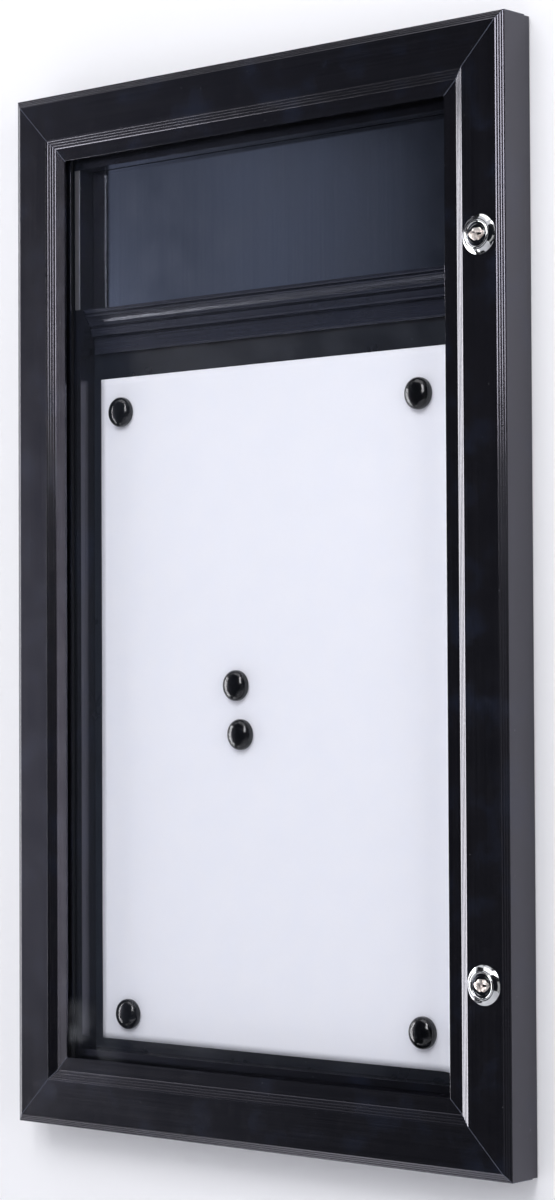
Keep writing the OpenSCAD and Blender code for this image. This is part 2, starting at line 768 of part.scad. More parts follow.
back_frame("left");  // back_frame_left
back_frame("right");  // back_frame_right
back_frame("top");  // back_frame_top
back_frame("bottom");  // back_frame_bottom
back_corner_cleats();
back_cleat_screws();
back_panel();
header_panel();
header_bar();
header_bar_ends();
header_bar_screws();
header_trims();
hinge_case_leaf();
hinge_pin();
hinge_case_screws();
paper_sheet();
door_bar("left");  // door_stile_left
door_bar("right");  // door_stile_right
door_bar("top");  // door_rail_top
door_bar("bottom");  // door_rail_bottom
door_corner_cleats();
door_cleat_screws();
glazing();
glazing_gasket();
glazing_bead("left");  // glazing_bead_left
glazing_bead("right");  // glazing_bead_right
glazing_bead("top");  // glazing_bead_top
glazing_bead("bottom");  // glazing_bead_bottom
door_seal();
hinge_door_leaf();
hinge_door_screws();
at_lock(upper_lock_z) lock_housing();  // lock_housing_upper
at_lock(lower_lock_z) lock_housing();  // lock_housing_lower
at_lock(upper_lock_z) lock_nut();  // lock_nut_upper
at_lock(lower_lock_z) lock_nut();  // lock_nut_lower
at_lock(upper_lock_z) lock_plug();  // lock_plug_upper
at_lock(lower_lock_z) lock_plug();  // lock_plug_lower
at_lock(upper_lock_z) lock_cam();  // lock_cam_upper
at_lock(lower_lock_z) lock_cam();  // lock_cam_lower
at_lock(upper_lock_z) lock_cam_screw();  // lock_cam_screw_upper
at_lock(lower_lock_z) lock_cam_screw();  // lock_cam_screw_lower
at_magnet(0) magnet_cap();  // magnet_cap_top_left
at_magnet(1) magnet_cap();  // magnet_cap_top_right
at_magnet(2) magnet_cap();  // magnet_cap_middle_upper
at_magnet(3) magnet_cap();  // magnet_cap_middle_lower
at_magnet(4) magnet_cap();  // magnet_cap_bottom_left
at_magnet(5) magnet_cap();  // magnet_cap_bottom_right
at_magnet(0) magnet_ferrite();  // magnet_ferrite_top_left
at_magnet(1) magnet_ferrite();  // magnet_ferrite_top_right
at_magnet(2) magnet_ferrite();  // magnet_ferrite_middle_upper
at_magnet(3) magnet_ferrite();  // magnet_ferrite_middle_lower
at_magnet(4) magnet_ferrite();  // magnet_ferrite_bottom_left
at_magnet(5) magnet_ferrite();  // magnet_ferrite_bottom_right
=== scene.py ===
import logging
import math
from collections.abc import Callable, Sequence
from dataclasses import dataclass, field
from enum import Enum
from functools import cache

import bmesh
import bpy
from mathutils import Matrix, Vector


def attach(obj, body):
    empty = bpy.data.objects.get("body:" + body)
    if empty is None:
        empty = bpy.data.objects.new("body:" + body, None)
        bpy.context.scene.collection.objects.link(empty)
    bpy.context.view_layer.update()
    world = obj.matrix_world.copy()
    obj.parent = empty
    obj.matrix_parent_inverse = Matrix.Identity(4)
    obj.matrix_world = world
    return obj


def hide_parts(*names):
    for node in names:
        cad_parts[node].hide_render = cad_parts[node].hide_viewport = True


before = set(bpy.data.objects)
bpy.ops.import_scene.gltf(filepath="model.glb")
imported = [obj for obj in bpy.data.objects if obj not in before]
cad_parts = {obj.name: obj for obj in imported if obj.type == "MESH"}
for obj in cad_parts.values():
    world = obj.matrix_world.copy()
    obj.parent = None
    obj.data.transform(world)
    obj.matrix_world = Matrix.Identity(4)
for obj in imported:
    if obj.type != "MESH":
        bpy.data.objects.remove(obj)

# The notice board hangs on a wall. X is to the right, Z is up and the front faces -Y.
# Sizes in the dataclasses are in millimetres, and a depth counts back from the face of the door.

MM = 0.001
CASE_D = 26.5
UP = (0.0, 0.0, 1.0)
ACROSS = (1.0, 0.0, 0.0)
ANY_WAY = (0.0, 0.0, 0.0)
LOG = logging.getLogger("notice_board")

# Rounded edges have this many steps, and corners nearer than this many millimetres are joined.
BEVEL_STEPS = 3
WELD = 0.01
# Edges that turn by fewer degrees than this are shaded smooth, on new profiles and on CAD nodes.
DRAWN_TURN = 8.0
SMOOTH_TURN = 16.0
# An edge runs along a profile where this share of its length or more does. Any edge passes ANY_RUN.
ALONG_RUN = 0.999
ANY_RUN = -1.0

Tree = bpy.types.NodeTree
Node = bpy.types.Node
Object = bpy.types.Object
Socket = bpy.types.NodeSocket
Value = float | str | tuple | Socket
Ring = list[Vector]
Pair = tuple[float, float]
Point = tuple[float, float, float]
Triple = tuple[float, float, float]
Ramp = tuple[float, float, float, float]


# Helpers


def linear(code: str) -> tuple[float, float, float, float]:
    """Turn a colour from sRGB hex into linear light.

    Args:
        code: the colour as "#RRGGBB".

    Returns:
        Red, green, blue and an alpha of 1.
    """
    parts = [int(code[i:i + 2], 16) / 255 for i in (1, 3, 5)]
    red, green, blue = (c / 12.92 if c <= 0.04045 else ((c + 0.055) / 1.055) ** 2.4 for c in parts)
    return red, green, blue, 1.0


def add(tree: Tree, kind: str, inputs: dict[str | int, Value] | None = None,
        **settings: object) -> Node:
    """Add one node to a tree, with its settings and its links.

    Args:
        tree: the node tree.
        kind: Blender's name for the type of node.
        inputs: for each input, a value, or the output that feeds it.
        settings: the node's own properties, by name.

    Returns:
        The new node.
    """
    made = tree.nodes.new(kind)
    for name, value in settings.items():
        setattr(made, name, value)
    for key, value in (inputs or {}).items():
        if isinstance(value, Socket):
            tree.links.new(value, made.inputs[key])
        else:
            made.inputs[key].default_value = value
    return made


def maths(tree: Tree, operation: str, *values: Value) -> Socket:
    """Add one step of arithmetic to a tree, and give its result."""
    return add(tree, "ShaderNodeMath", dict(enumerate(values)), operation=operation).outputs[0]


def at_depth(x: float, depth: float, z: float) -> Vector:
    """Give the point in metres at x and z, a depth behind the face of the door."""
    return Vector((x, depth - CASE_D, z)) * MM


def around(x: float, z: float, depth: float, radius: float | Callable[[float], float],
           steps: int = 96) -> Ring:
    """Lay points around an axis that runs straight back.

    Args:
        x: the axis, from the middle of the board.
        z: the axis, from the middle of the board.
        depth: how far behind the face of the door the ring lies.
        radius: one radius, or a function that gives it for an angle.
        steps: how many points there are.

    Returns:
        The points, or the one point on the axis where the radius is 0.
    """
    if radius == 0:
        return [at_depth(x, depth, z)]
    reach = radius if callable(radius) else lambda angle: radius
    angles = [2 * math.pi * i / steps for i in range(steps)]
    return [at_depth(x + reach(a) * math.cos(a), depth, z + reach(a) * math.sin(a)) for a in angles]


def new_object(name: str, data: bpy.types.ID) -> Object:
    """Put a new object into the scene."""
    made = bpy.data.objects.new(name, data)
    bpy.context.scene.collection.objects.link(made)
    return made


def new_piece(name: str, build: bmesh.types.BMesh, sharp_angle: float) -> Object:
    """Turn a built mesh into a smoothly shaded object.

    Args:
        name: the piece's name.
        build: the mesh, which is freed.
        sharp_angle: edges that turn by more than this many degrees stay sharp.

    Returns:
        The new object, at the origin.
    """
    mesh = bpy.data.meshes.new(name)
    build.to_mesh(mesh)
    build.free()
    mesh.shade_smooth()
    mesh.set_sharp_from_angle(angle=math.radians(sharp_angle))
    return new_object(name, mesh)


def skin(name: str, rings: Sequence[Ring], sharp_angle: float) -> Object:
    """Skin a row of rings into one closed piece. A ring of one point closes an end.

    Args:
        name: the piece's name.
        rings: rings of equal count, in order along the surface.
        sharp_angle: edges that turn by more than this many degrees stay sharp.

    Returns:
        The new object.
    """
    build = bmesh.new()
    rows = [[build.verts.new(point) for point in ring] for ring in rings]
    for one, two in zip(rows, rows[1:]):
        for i in range(max(len(one), len(two))):
            corners = [one[i % len(one)], one[(i + 1) % len(one)],
                       two[(i + 1) % len(two)], two[i % len(two)]]
            build.faces.new(list(dict.fromkeys(corners)))
    bmesh.ops.recalc_face_normals(build, faces=build.faces)
    return new_piece(name, build, sharp_angle)


def extrusion(name: str, outline: Sequence[Pair], half_run: float, edge: float) -> Object:
    """Extrude a section along X, with its edges rounded as a die leaves them.

    Args:
        name: the piece's name.
        outline: the section's corners, as height and depth.
        half_run: how far it reaches to each side of the middle.
        edge: how wide the rounding is, in millimetres.

    Returns:
        The new object.
    """
    build = bmesh.new()
    ends = [[build.verts.new(at_depth(x, depth, z)) for z, depth in outline]
            for x in (-half_run, half_run)]
    for end in ends:
        build.faces.new(end)
    for i in range(len(outline)):
        build.faces.new((ends[0][i - 1], ends[0][i], ends[1][i], ends[1][i - 1]))
    bmesh.ops.recalc_face_normals(build, faces=build.faces)
    piece = new_piece(name, build, DRAWN_TURN)
    bevel = piece.modifiers.new("drawn_edges", "BEVEL")
    bevel.limit_method = "ANGLE"
    bevel.angle_limit = math.radians(DRAWN_TURN)
    bevel.width = edge * MM
    bevel.segments = BEVEL_STEPS
    bevel.harden_normals = True
    return piece


def above(group: Tree, value: Socket, limit: float) -> Socket:
    """Test in a geometry group whether a value lies above a limit."""
    return add(group, "FunctionNodeCompare", {"A": value, "B": limit}, operation="GREATER_THAN").outputs[0]


def geometry_group(name: str) -> tuple[Tree, Node]:
    """Start a geometry node group with one way in and one way out.

    Args:
        name: the group's name.

    Returns:
        The group and its input node.
    """
    group = bpy.data.node_groups.new(name, "GeometryNodeTree")
    for way in ("INPUT", "OUTPUT"):
        group.interface.new_socket("Geometry", in_out=way, socket_type="NodeSocketGeometry")
    return group, add(group, "NodeGroupInput")


@cache
def smooth_group() -> Tree:
    """Make the geometry nodes that shade a mesh smooth between its sharp edges.

    Returns:
        The node group, made once.
    """
    group, source = geometry_group("smooth_between_edges")
    faces = add(group, "GeometryNodeSetShadeSmooth", {"Geometry": source.outputs[0]}, domain="FACE")
    turn = add(group, "GeometryNodeInputMeshEdgeAngle").outputs["Unsigned Angle"]
    sharp = above(group, turn, math.radians(SMOOTH_TURN))
    edges = add(group, "GeometryNodeSetShadeSmooth",
                {"Geometry": faces.outputs[0], "Selection": sharp, "Shade Smooth": False}, domain="EDGE")
    add(group, "NodeGroupOutput", {0: edges.outputs[0]})
    return group


@cache
def edge_group(axis: Point, turn: float) -> Tree:
    """Make the geometry nodes that mark the outward corners to round, those along a profile.

    Args:
        axis: the way the profile runs, or ANY_WAY for edges of any direction.
        turn: the least angle, in degrees, of an edge that is marked.

    Returns:
        The node group, made once for each axis and angle.
    """
    group, source = geometry_group("mark_edges_%d%d%d_%g" % (*axis, turn))
    ends = add(group, "GeometryNodeInputMeshEdgeVertices")
    run = add(group, "ShaderNodeVectorMath", {0: ends.outputs["Position 1"], 1: ends.outputs["Position 2"]},
              operation="SUBTRACT")
    way = add(group, "ShaderNodeVectorMath", {0: run.outputs[0]}, operation="NORMALIZE")
    share = add(group, "ShaderNodeVectorMath", {0: way.outputs[0], 1: axis}, operation="DOT_PRODUCT")
    size = maths(group, "ABSOLUTE", share.outputs["Value"])
    along = above(group, size, ALONG_RUN if any(axis) else ANY_RUN)
    angle = add(group, "GeometryNodeInputMeshEdgeAngle").outputs["Signed Angle"]
    both = add(group, "FunctionNodeBooleanMath", {0: along, 1: above(group, angle, math.radians(turn))},
               operation="AND")
    marked = add(group, "GeometryNodeStoreNamedAttribute",
                 {"Geometry": source.outputs[0], "Name": "bevel_weight_edge", "Value": both.outputs[0]},
                 data_type="FLOAT", domain="EDGE")
    add(group, "NodeGroupOutput", {0: marked.outputs[0]})
    return group


def soften(node: str, width: float, turn: float, axis: Point) -> None:
    """Round a CAD node's hard edges with modifiers, so that they catch light as cut metal does,
    and keep its broad faces as flat as they are.

    Args:
        node: the CAD node's name.
        width: how wide the rounding is, in millimetres.
        turn: the least angle, in degrees, of an edge that is rounded.
        axis: the way the profile runs, or ANY_WAY for edges of any direction.
    """
    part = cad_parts[node]
    weld = part.modifiers.new("weld", "WELD")
    weld.merge_threshold = WELD * MM
    part.modifiers.new("edges", "NODES").node_group = edge_group(axis, turn)
    bevel = part.modifiers.new("worn_edges", "BEVEL")
    bevel.limit_method = "WEIGHT"
    bevel.width = width * MM
    bevel.segments = BEVEL_STEPS
    bevel.use_clamp_overlap = True
    part.modifiers.new("shading", "NODES").node_group = smooth_group()
    part.modifiers.new("flat_faces", "WEIGHTED_NORMAL").keep_sharp = True


# Finishes


class Grain(Enum):
    """The way that drawn or brushed lines run over a surface."""

    UPRIGHT = (1.0, 1.0, 0.004)
    LEVEL = (0.004, 1.0, 1.0)
    NONE = (1.0, 1.0, 1.0)


@dataclass(frozen=True)
class Noise:
    """One pattern: its pitch in millimetres, how many finer layers it has, and how it runs."""

    pitch: float
    detail: float = 2.0
    grain: Grain = Grain.NONE


@dataclass(frozen=True)
class Dust:
    """Small round specks. Only a share of the cells hold one, and it hides what is below in part."""

    spacing: float
    radius: float
    share: float
    cover: float


@dataclass(frozen=True)
class Look:
    """A material in the making: its nodes, its main shader and the coordinates in metres."""

    tree: Tree
    shader: Node
    place: Socket

    def maths(self, operation: str, *values: Value) -> Socket:
        """Work out one step of arithmetic."""
        return maths(self.tree, operation, *values)

    def along(self, axis: str) -> Socket:
        """Give the coordinate along an axis, in metres."""
        return add(self.tree, "ShaderNodeSeparateXYZ", {"Vector": self.place}).outputs[axis]

    def noise(self, noise: Noise) -> Socket:
        """Draw an even grain, or fine lines that run one way.

        Args:
            noise: the pattern.

        Returns:
            A factor around 0.5.
        """
        scale = tuple(side / (noise.pitch * MM) for side in noise.grain.value)
        spread = add(self.tree, "ShaderNodeMapping", {"Vector": self.place, "Scale": scale}).outputs[0]
        return add(self.tree, "ShaderNodeTexNoise",
                   {"Vector": spread, "Scale": 1.0, "Detail": noise.detail}).outputs["Fac"]

    def fit(self, factor: Socket, low: float, high: float, start: float = 0.3,
            end: float = 0.7) -> Socket:
        """Spread a factor from start to end over the range from low to high."""
        return add(self.tree, "ShaderNodeMapRange", {"Value": factor, "From Min": start, "From Max": end,
                                                     "To Min": low, "To Max": high}).outputs["Result"]

    def blend(self, factor: Socket, one: str | Socket, two: str | Socket) -> Socket:
        """Mix two colours, each given in hex or as a socket, by a factor."""
        one, two = (linear(tone) if isinstance(tone, str) else tone for tone in (one, two))
        return add(self.tree, "ShaderNodeMix", {0: factor, 6: one, 7: two}, data_type="RGBA").outputs[2]

    def mix(self, factor: Socket, one: Socket, two: Socket) -> Socket:
        """Mix two shaders by a factor."""
        return add(self.tree, "ShaderNodeMixShader", {0: factor, 1: one, 2: two}).outputs[0]

    def specks(self, dust: Dust) -> Socket:
        """Scatter dust.

        Args:
            dust: its specks.

        Returns:
            How much of what is below they hide.
        """
        cells = add(self.tree, "ShaderNodeTexVoronoi",
                    {"Vector": self.place, "Scale": 1 / (dust.spacing * MM)}).outputs
        reach = dust.radius / dust.spacing
        near = self.fit(cells["Distance"], dust.cover, 0.0, reach / 2, reach)
        lot = add(self.tree, "ShaderNodeSeparateColor", {"Color": cells["Color"]}).outputs["Red"]
        return self.maths("MULTIPLY", near, self.maths("LESS_THAN", lot, dust.share))

    def show(self, tone: Socket, rough: Socket, height: Socket, rise: float = 1.0) -> Socket:
        """Feed the patterns into the main shader.

        Args:
            tone: the colour.
            rough: the roughness.
            height: the bumps, as a share of their rise.
            rise: how far the bumps rise, in millimetres.

        Returns:
            What the surface shows.
        """
        normal = add(self.tree, "ShaderNodeBump", {"Height": height, "Distance": rise * MM}).outputs[0]
        for name, source in (("Base Color", tone), ("Roughness", rough), ("Normal", normal)):
            self.tree.links.new(source, self.shader.inputs[name])
        return self.shader.outputs["BSDF"]

    def one_sided(self, front: Socket) -> Socket:
        """Leave out the back of a face, so that the board can be looked at from all sides."""
        behind = add(self.tree, "ShaderNodeNewGeometry").outputs["Backfacing"]
        return self.mix(behind, front, add(self.tree, "ShaderNodeBsdfTransparent").outputs[0])


@dataclass(frozen=True)
class Finish:
    """A surface as a maker would name it, with typical values for its material."""

    name: str
    colour: str
    roughness: float
    metallic: float = 0.0
    ior: float = 1.5

    @cache
    def material(self) -> bpy.types.Material:
        """Make the material once, and give the same one to each later caller.

        Returns:
            The material.
        """
        made = bpy.data.materials.new(self.name)
        made.use_nodes = True
        tree = made.node_tree
        tree.nodes.clear()
        shader = add(tree, "ShaderNodeBsdfPrincipled",
                     {"Base Color": linear(self.colour), "Roughness": self.roughness,
                      "Metallic": self.metallic, "IOR": self.ior})
        place = add(tree, "ShaderNodeTexCoord").outputs["Object"]
        add(tree, "ShaderNodeOutputMaterial", {"Surface": self.dress(Look(tree, shader, place))})
        return made

    def dress(self, look: Look) -> Socket:
        """Draw the finish's own patterns, and give what the surface shows."""
        return look.shader.outputs["BSDF"]


@dataclass(frozen=True)
class Grained(Finish):
    """A finish whose tone, roughness and height each follow a noise, with or without dust."""

    # The paler tone comes through by this share at most, where the mottling is strongest.
    pale: str = "#FFFFFF"
    mottle: Noise = Noise(1.0)
    share: float = 0.0
    # The wear makes the surface so much less and so much more rough.
    wear: Noise = Noise(1.0)
    uneven: Pair = (0.0, 0.0)
    bumps: Noise = Noise(1.0)
    rise: float = 0.0
    dust: Dust | None = None
    dusty: str = "#A8AEBA"

    def dress(self, look: Look) -> Socket:
        """Draw the tones, the dust, the wear and the bumps.

        Args:
            look: the material in the making.

        Returns:
            What the surface shows.
        """
        tone = look.blend(self.shade(look), self.colour, self.pale)
        if self.dust is not None:
            tone = look.blend(look.specks(self.dust), tone, self.dusty)
        return look.show(tone, self.rough(look), look.noise(self.bumps), self.rise)

    def shade(self, look: Look) -> Socket:
        """Give the factor between the finish's two tones."""
        return look.fit(look.noise(self.mottle), 0.0, self.share)

    def rough(self, look: Look) -> Socket:
        """Give the roughness."""
        less, more = self.uneven
        return look.fit(look.noise(self.wear), self.roughness - less, self.roughness + more)


@dataclass(frozen=True)
class AnodisedExtrusion(Finish):
    """Black anodised aluminium, drawn through a die. The clear oxide over the dye gives a cool
    satin mirror, and the die leaves faint lines along the profile."""

    grain: Grain = Grain.UPRIGHT
    # Die lines are 0.05 to 0.2 mm apart. They are drawn at 0.7 mm so that they show.
    die_pitch: float = 0.7
    die_rise: float = 0.0015
    clouds: Noise = Noise(26.0, 4.0)
    marks: Noise = Noise(7.0, 3.0)
    dust: Dust = Dust(5.5, 0.35, 0.2, 0.4)
    worn: str = "#18181D"
    smudge: str = "#151B2A"
    dusty: str = "#8C8C94"
    sheen: str = "#F0EDFF"
    # How much of the worn tone the die lines bare, how far they and the clouds vary the roughness,
    # and how much the handling marks and the smudges add, from where to where in their noise
    line_share: float = 0.35
    uneven: Pair = (-0.015, 0.02)
    handled: Triple = (0.03, 0.55, 0.8)
    smudged: Triple = (0.7, 0.52, 0.75)

    def dress(self, look: Look) -> Socket:
        """Draw the die lines, a cloudy dye, handling marks and a little dust.

        Args:
            look: the material in the making.

        Returns:
            What the surface shows.
        """
        lines, clouds = look.noise(Noise(self.die_pitch, grain=self.grain)), look.noise(self.clouds)
        tone = look.blend(look.fit(lines, 0.0, self.line_share), self.colour, self.worn)
        tone = look.blend(look.specks(self.dust), self.worked(look, tone, clouds), self.dusty)
        look.shader.inputs["Specular Tint"].default_value = linear(self.sheen)
        uneven = look.maths("ADD", *(look.fit(factor, *self.uneven) for factor in (clouds, lines)))
        more, start, end = self.handled
        handled = look.fit(look.noise(self.marks), self.roughness, self.roughness + more, start, end)
        return look.show(tone, look.maths("ADD", uneven, handled), self.relief(look, lines))

    def worked(self, look: Look, tone: Socket, clouds: Socket) -> Socket:
        """Give the tone as handling leaves it, here with faint bluish smudges."""
        return look.blend(look.fit(clouds, 0.0, *self.smudged), tone, self.smudge)

    def relief(self, look: Look, lines: Socket) -> Socket:
        """Give the height of the surface in millimetres, here that of the die lines alone."""
        return look.maths("MULTIPLY", lines, self.die_rise)


@dataclass(frozen=True)
class RibbedExtrusion(AnodisedExtrusion):
    """The anodised profile of the door. The ribs of its bevels are crowned, so that each one
    catches the light as a thin line. A paler hairline along each mitre is a painted highlight, standing in
    for the light that the mitre's edge catches."""

    half_w: float = 198.0
    half_h: float = 329.25
    # Each bevel starts and ends so far inward, and its ribs rise so far.
    bevels: tuple[Triple, ...] = ((0.0, 4.9, 0.06), (28.8, 35.0, 0.12))
    ribs: int = 4
    # The painted mitre highlight stands for a lit edge 0.1 mm wide. It is drawn 0.4 mm wide so that it
    # shows.
    mitre_glint_w: float = 0.4
    mitre_glint_core: float = 0.28
    mitre_glint_share: float = 0.8
    # The paler colour of the painted mitre highlight.
    mitre_glint_tone: str = "#585B68"

    def inward(self, look: Look) -> list[Socket]:
        """Give the distances in millimetres from the door's upright and level outer edges."""
        return [look.maths("MULTIPLY_ADD", look.maths("ABSOLUTE", look.along(axis)), -1 / MM, half)
                for axis, half in (("X", self.half_w), ("Z", self.half_h))]

    def worked(self, look: Look, tone: Socket, clouds: Socket) -> Socket:
        """Add the painted highlight hairlines where the profiles meet.

        Args:
            look: the material in the making.
            tone: the colour before.
            clouds: the dye's clouds.

        Returns:
            The colour after.
        """
        apart = look.maths("ABSOLUTE", look.maths("SUBTRACT", *self.inward(look)))
        # A paler line is painted along each mitre as the highlight of its edge.
        glint = look.fit(apart, self.mitre_glint_share, 0.0, self.mitre_glint_core, self.mitre_glint_w)
        return look.blend(glint, super().worked(look, tone, clouds), self.mitre_glint_tone)

    def relief(self, look: Look, lines: Socket) -> Socket:
        """Add a crown to each rib of both bevels.

        Args:
            look: the material in the making.
            lines: the die lines.

        Returns:
            The height in millimetres.
        """
        height = super().relief(look, lines)
        inward = look.maths("MINIMUM", *self.inward(look))
        for start, end, rise in self.bevels:
            rib = look.maths("FRACT", look.fit(inward, 0.0, self.ribs, start, end))
            crown = look.maths("MULTIPLY", rib, look.maths("SUBTRACT", 1.0, rib))
            height = look.maths("MULTIPLY_ADD", crown, 4 * rise, height)
        return height


@dataclass(frozen=True)
class PowderCoatedSteel(Grained):
    """Steel sheet with a baked powder coat. Its gentle orange peel breaks up reflections."""

    pale: str = "#232834"
    mottle: Noise = Noise(45.0, 4.0)
    share: float = 0.5
    wear: Noise = Noise(45.0, 4.0)
    uneven: Pair = (0.05, 0.07)
    # The peel's dimples are 1 to 2 mm across.
    bumps: Noise = Noise(1.6, 1.0)
    rise: float = 0.02
    dust: Dust = Dust(4.5, 0.35, 0.2, 0.3)


@dataclass(frozen=True)
class BrushedAluminium(Grained):
    """Aluminium sheet brushed with an abrasive belt. The fine grooves spread light across them."""

    # The belt leaves grooves about 0.1 mm apart. They are drawn at 0.55 mm so that they show.
    mottle: Noise = Noise(0.55, 3.0, Grain.UPRIGHT)
    share: float = 0.6
    wear: Noise = Noise(30.0, 3.0)
    uneven: Pair = (0.02, 0.03)
    bumps: Noise = Noise(0.55, 3.0, Grain.UPRIGHT)
    rise: float = 0.0012


@dataclass(frozen=True)
class PolishedChrome(Grained):
    """Zinc casting with polished chrome plate. It mirrors the room, in the slight waves of a
    polished casting and with faint buffing marks."""

    pale: str = "#DADBDD"
    mottle: Noise = Noise(3.5, 1.0)
    share: float = 1.0
    # Buffing scratches are finer than 0.05 mm. They are drawn at 0.35 mm so that they show.
    wear: Noise = Noise(0.35, grain=Grain.LEVEL)
    uneven: Pair = (0.02, 0.05)
    bumps: Noise = Noise(3.5, 1.0)
    rise: float = 0.03


@dataclass(frozen=True)
class PlatedSteel(Grained):
    """Steel with a thin plated or blackened coat. It is cloudy, with small brighter rubbed spots."""

    pale: str = "#9C9E9A"
    mottle: Noise = Noise(6.0, 3.0)
    share: float = 1.0
    # The crystals of the coat are under 1 mm. They are drawn at 1.2 mm.
    wear: Noise = Noise(1.2)
    uneven: Pair = (0.08, 0.1)
    bumps: Noise = Noise(1.2)
    rise: float = 0.01


@dataclass(frozen=True)
class UncoatedPaper(Grained):
    """Heavy white cartridge paper. Pressed fibres give it a dull, faintly mottled face."""

    pale: str = "#F4F5FA"
    mottle: Noise = Noise(14.0, 3.0)
    # Fibres are 0.02 mm wide and 1 mm long. They are drawn as a 0.6 mm fleck.
    wear: Noise = Noise(0.6, 3.0)
    uneven: Pair = (0.05, 0.08)
    bumps: Noise = Noise(0.6, 3.0)
    rise: float = 0.012
    density: Ramp = (0.0, 1.0, 0.12, 0.4)

    def shade(self, look: Look) -> Socket:
        """Let the flecks and the cloudy density of the sheet mottle it together."""
        both = look.maths("MULTIPLY", look.noise(self.bumps), look.noise(self.mottle))
        return look.fit(both, *self.density)


@dataclass(frozen=True)
class MouldedPlastic(Grained):
    """Injection-moulded ABS from a polished tool. It is glossy, with fine handling scratches and a
    slight ripple from cooling."""

    wear: Noise = Noise(0.8, 3.0)
    uneven: Pair = (0.02, 0.06)
    bumps: Noise = Noise(2.6, 1.0)
    rise: float = 0.006
    dust: Dust = Dust(3.2, 0.18, 0.1, 0.25)
    dusty: str = "#A0A4AE"


@dataclass(frozen=True)
class MatteCompound(Grained):
    """Rubber or pressed powder. Its fine grain scatters light, so it stays dull from all sides."""

    pale: str = "#2A2A2C"
    mottle: Noise = Noise(0.8, 3.0)
    share: float = 0.7
    wear: Noise = Noise(0.8, 3.0)
    uneven: Pair = (0.08, 0.08)
    bumps: Noise = Noise(0.8, 3.0)
    rise: float = 0.03


@dataclass(frozen=True)
class ClearAcrylic(Finish):
    """Cast acrylic pane with a hard coat that mirrors less than the bare plastic. It is clear, and
    holds dust and wipe marks."""

    wipe: Noise = Noise(38.0, 6.0)
    haze: Ramp = (0.0, 0.12, 0.48, 0.72)
    # The hard coat mirrors this share of what bare acrylic does.
    coating: float = 0.5
    dust: Dust = Dust(6.0, 0.3, 0.16, 0.3)
    dusty: str = "#C8CCD4"
    clear: str = "#FDFDFE"
    # The smear at the lower left fades out between these heights and these places, in metres.
    smear_z: Pair = (-0.27, -0.235)
    smear_x: Pair = (-0.135, -0.105)

    def dress(self, look: Look) -> Socket:
        """Let what is behind show through, under a Fresnel mirror and a little dust.

        Args:
            look: the material in the making.

        Returns:
            What the surface shows.
        """
        facing = add(look.tree, "ShaderNodeLayerWeight", {"Blend": 0.5}).outputs["Facing"]
        # Schlick's formula gives the mirror's share for each angle from that for head-on light.
        head_on = ((self.ior - 1) / (self.ior + 1)) ** 2
        gloss = look.fit(look.maths("POWER", facing, 5.0), head_on * self.coating, 1.0, 0.0, 1.0)
        clear = add(look.tree, "ShaderNodeBsdfTransparent", {"Color": linear(self.clear)}).outputs[0]
        mirror = add(look.tree, "ShaderNodeBsdfAnisotropic",
                     {"Color": linear(self.colour), "Roughness": self.roughness}).outputs[0]
        film = look.fit(look.noise(self.wipe), *self.haze)
        for axis, ends in (("Z", self.smear_z), ("X", self.smear_x)):
            film = look.maths("MULTIPLY", look.fit(look.along(axis), 1.0, 0.0, *ends), film)
        matt = add(look.tree, "ShaderNodeBsdfDiffuse", {"Color": linear(self.dusty)}).outputs[0]
        look.tree.nodes.remove(look.shader)
        dirt = look.maths("ADD", film, look.specks(self.dust))
        return look.mix(dirt, look.mix(gloss, clear, mirror), matt)


NICKEL_GRAIN = Noise(1.9)
FINE_GRIT = Noise(0.5, 3.0)
# The colour, roughness, metallic share and IOR of the dyed coat. Aluminium oxide has an IOR of 1.76,
# which gives the coat its strong cool mirror.
BLACK_OXIDE = ("#0C0C10", 0.17, 0.0, 1.76)
DOOR_STILE_METAL = RibbedExtrusion("anodised_ribbed_aluminium_upright", *BLACK_OXIDE, Grain.UPRIGHT)
DOOR_RAIL_METAL = RibbedExtrusion("anodised_ribbed_aluminium_level", *BLACK_OXIDE, Grain.LEVEL)
STILE_METAL = AnodisedExtrusion("anodised_aluminium_upright", *BLACK_OXIDE, Grain.UPRIGHT)
RAIL_METAL = AnodisedExtrusion("anodised_aluminium_level", *BLACK_OXIDE, Grain.LEVEL)
BACK_STEEL = PowderCoatedSteel("powder_coated_steel", "#12151C", 0.3)
BAR_METAL = AnodisedExtrusion("anodised_aluminium_satin", "#20222C", 0.22, 0.0, 1.6, Grain.LEVEL,
                              worn="#2A2D38", sheen="#ECEFFF")
HEADER_METAL = BrushedAluminium("brushed_graphite_aluminium", "#D2D8E6", 0.11, 1.0, pale="#E6EAF2")
TRIM_METAL = BrushedAluminium("brushed_bright_aluminium", "#C2C2C7", 0.45, 1.0, pale="#D0D0D4")
CHROME = PolishedChrome("polished_chrome_plate", "#C4C6C9", 0.07, 1.0)
KEYWAY_METAL = PlatedSteel("cast_satin_nickel", "#D6C6BF", 0.34, 1.0, pale="#F6EFEC",
                           wear=NICKEL_GRAIN, bumps=NICKEL_GRAIN, rise=0.75)
ZINC = PlatedSteel("zinc_plated_steel", "#B2B3AE", 0.34, 1.0)
BLACK_STEEL = PlatedSteel("black_oxide_steel", "#2C2C30", 0.4, 1.0, pale="#3A3A40")
PAPER = UncoatedPaper("uncoated_white_paper", "#F0F2F9", 0.72)
PANE = ClearAcrylic("clear_cast_acrylic", "#FFFFFF", 0.02, 0.0, 1.49)
RUBBER = MatteCompound("moulded_epdm_rubber", "#141416", 0.62)
CAP_PLASTIC = MouldedPlastic("moulded_gloss_abs", "#08090C", 0.13, 0.0, 1.53)
FERRITE = MatteCompound("pressed_ferrite", "#232325", 0.6, pale="#343436", mottle=FINE_GRIT,
                        wear=FINE_GRIT, bumps=FINE_GRIT)


# Assemblies


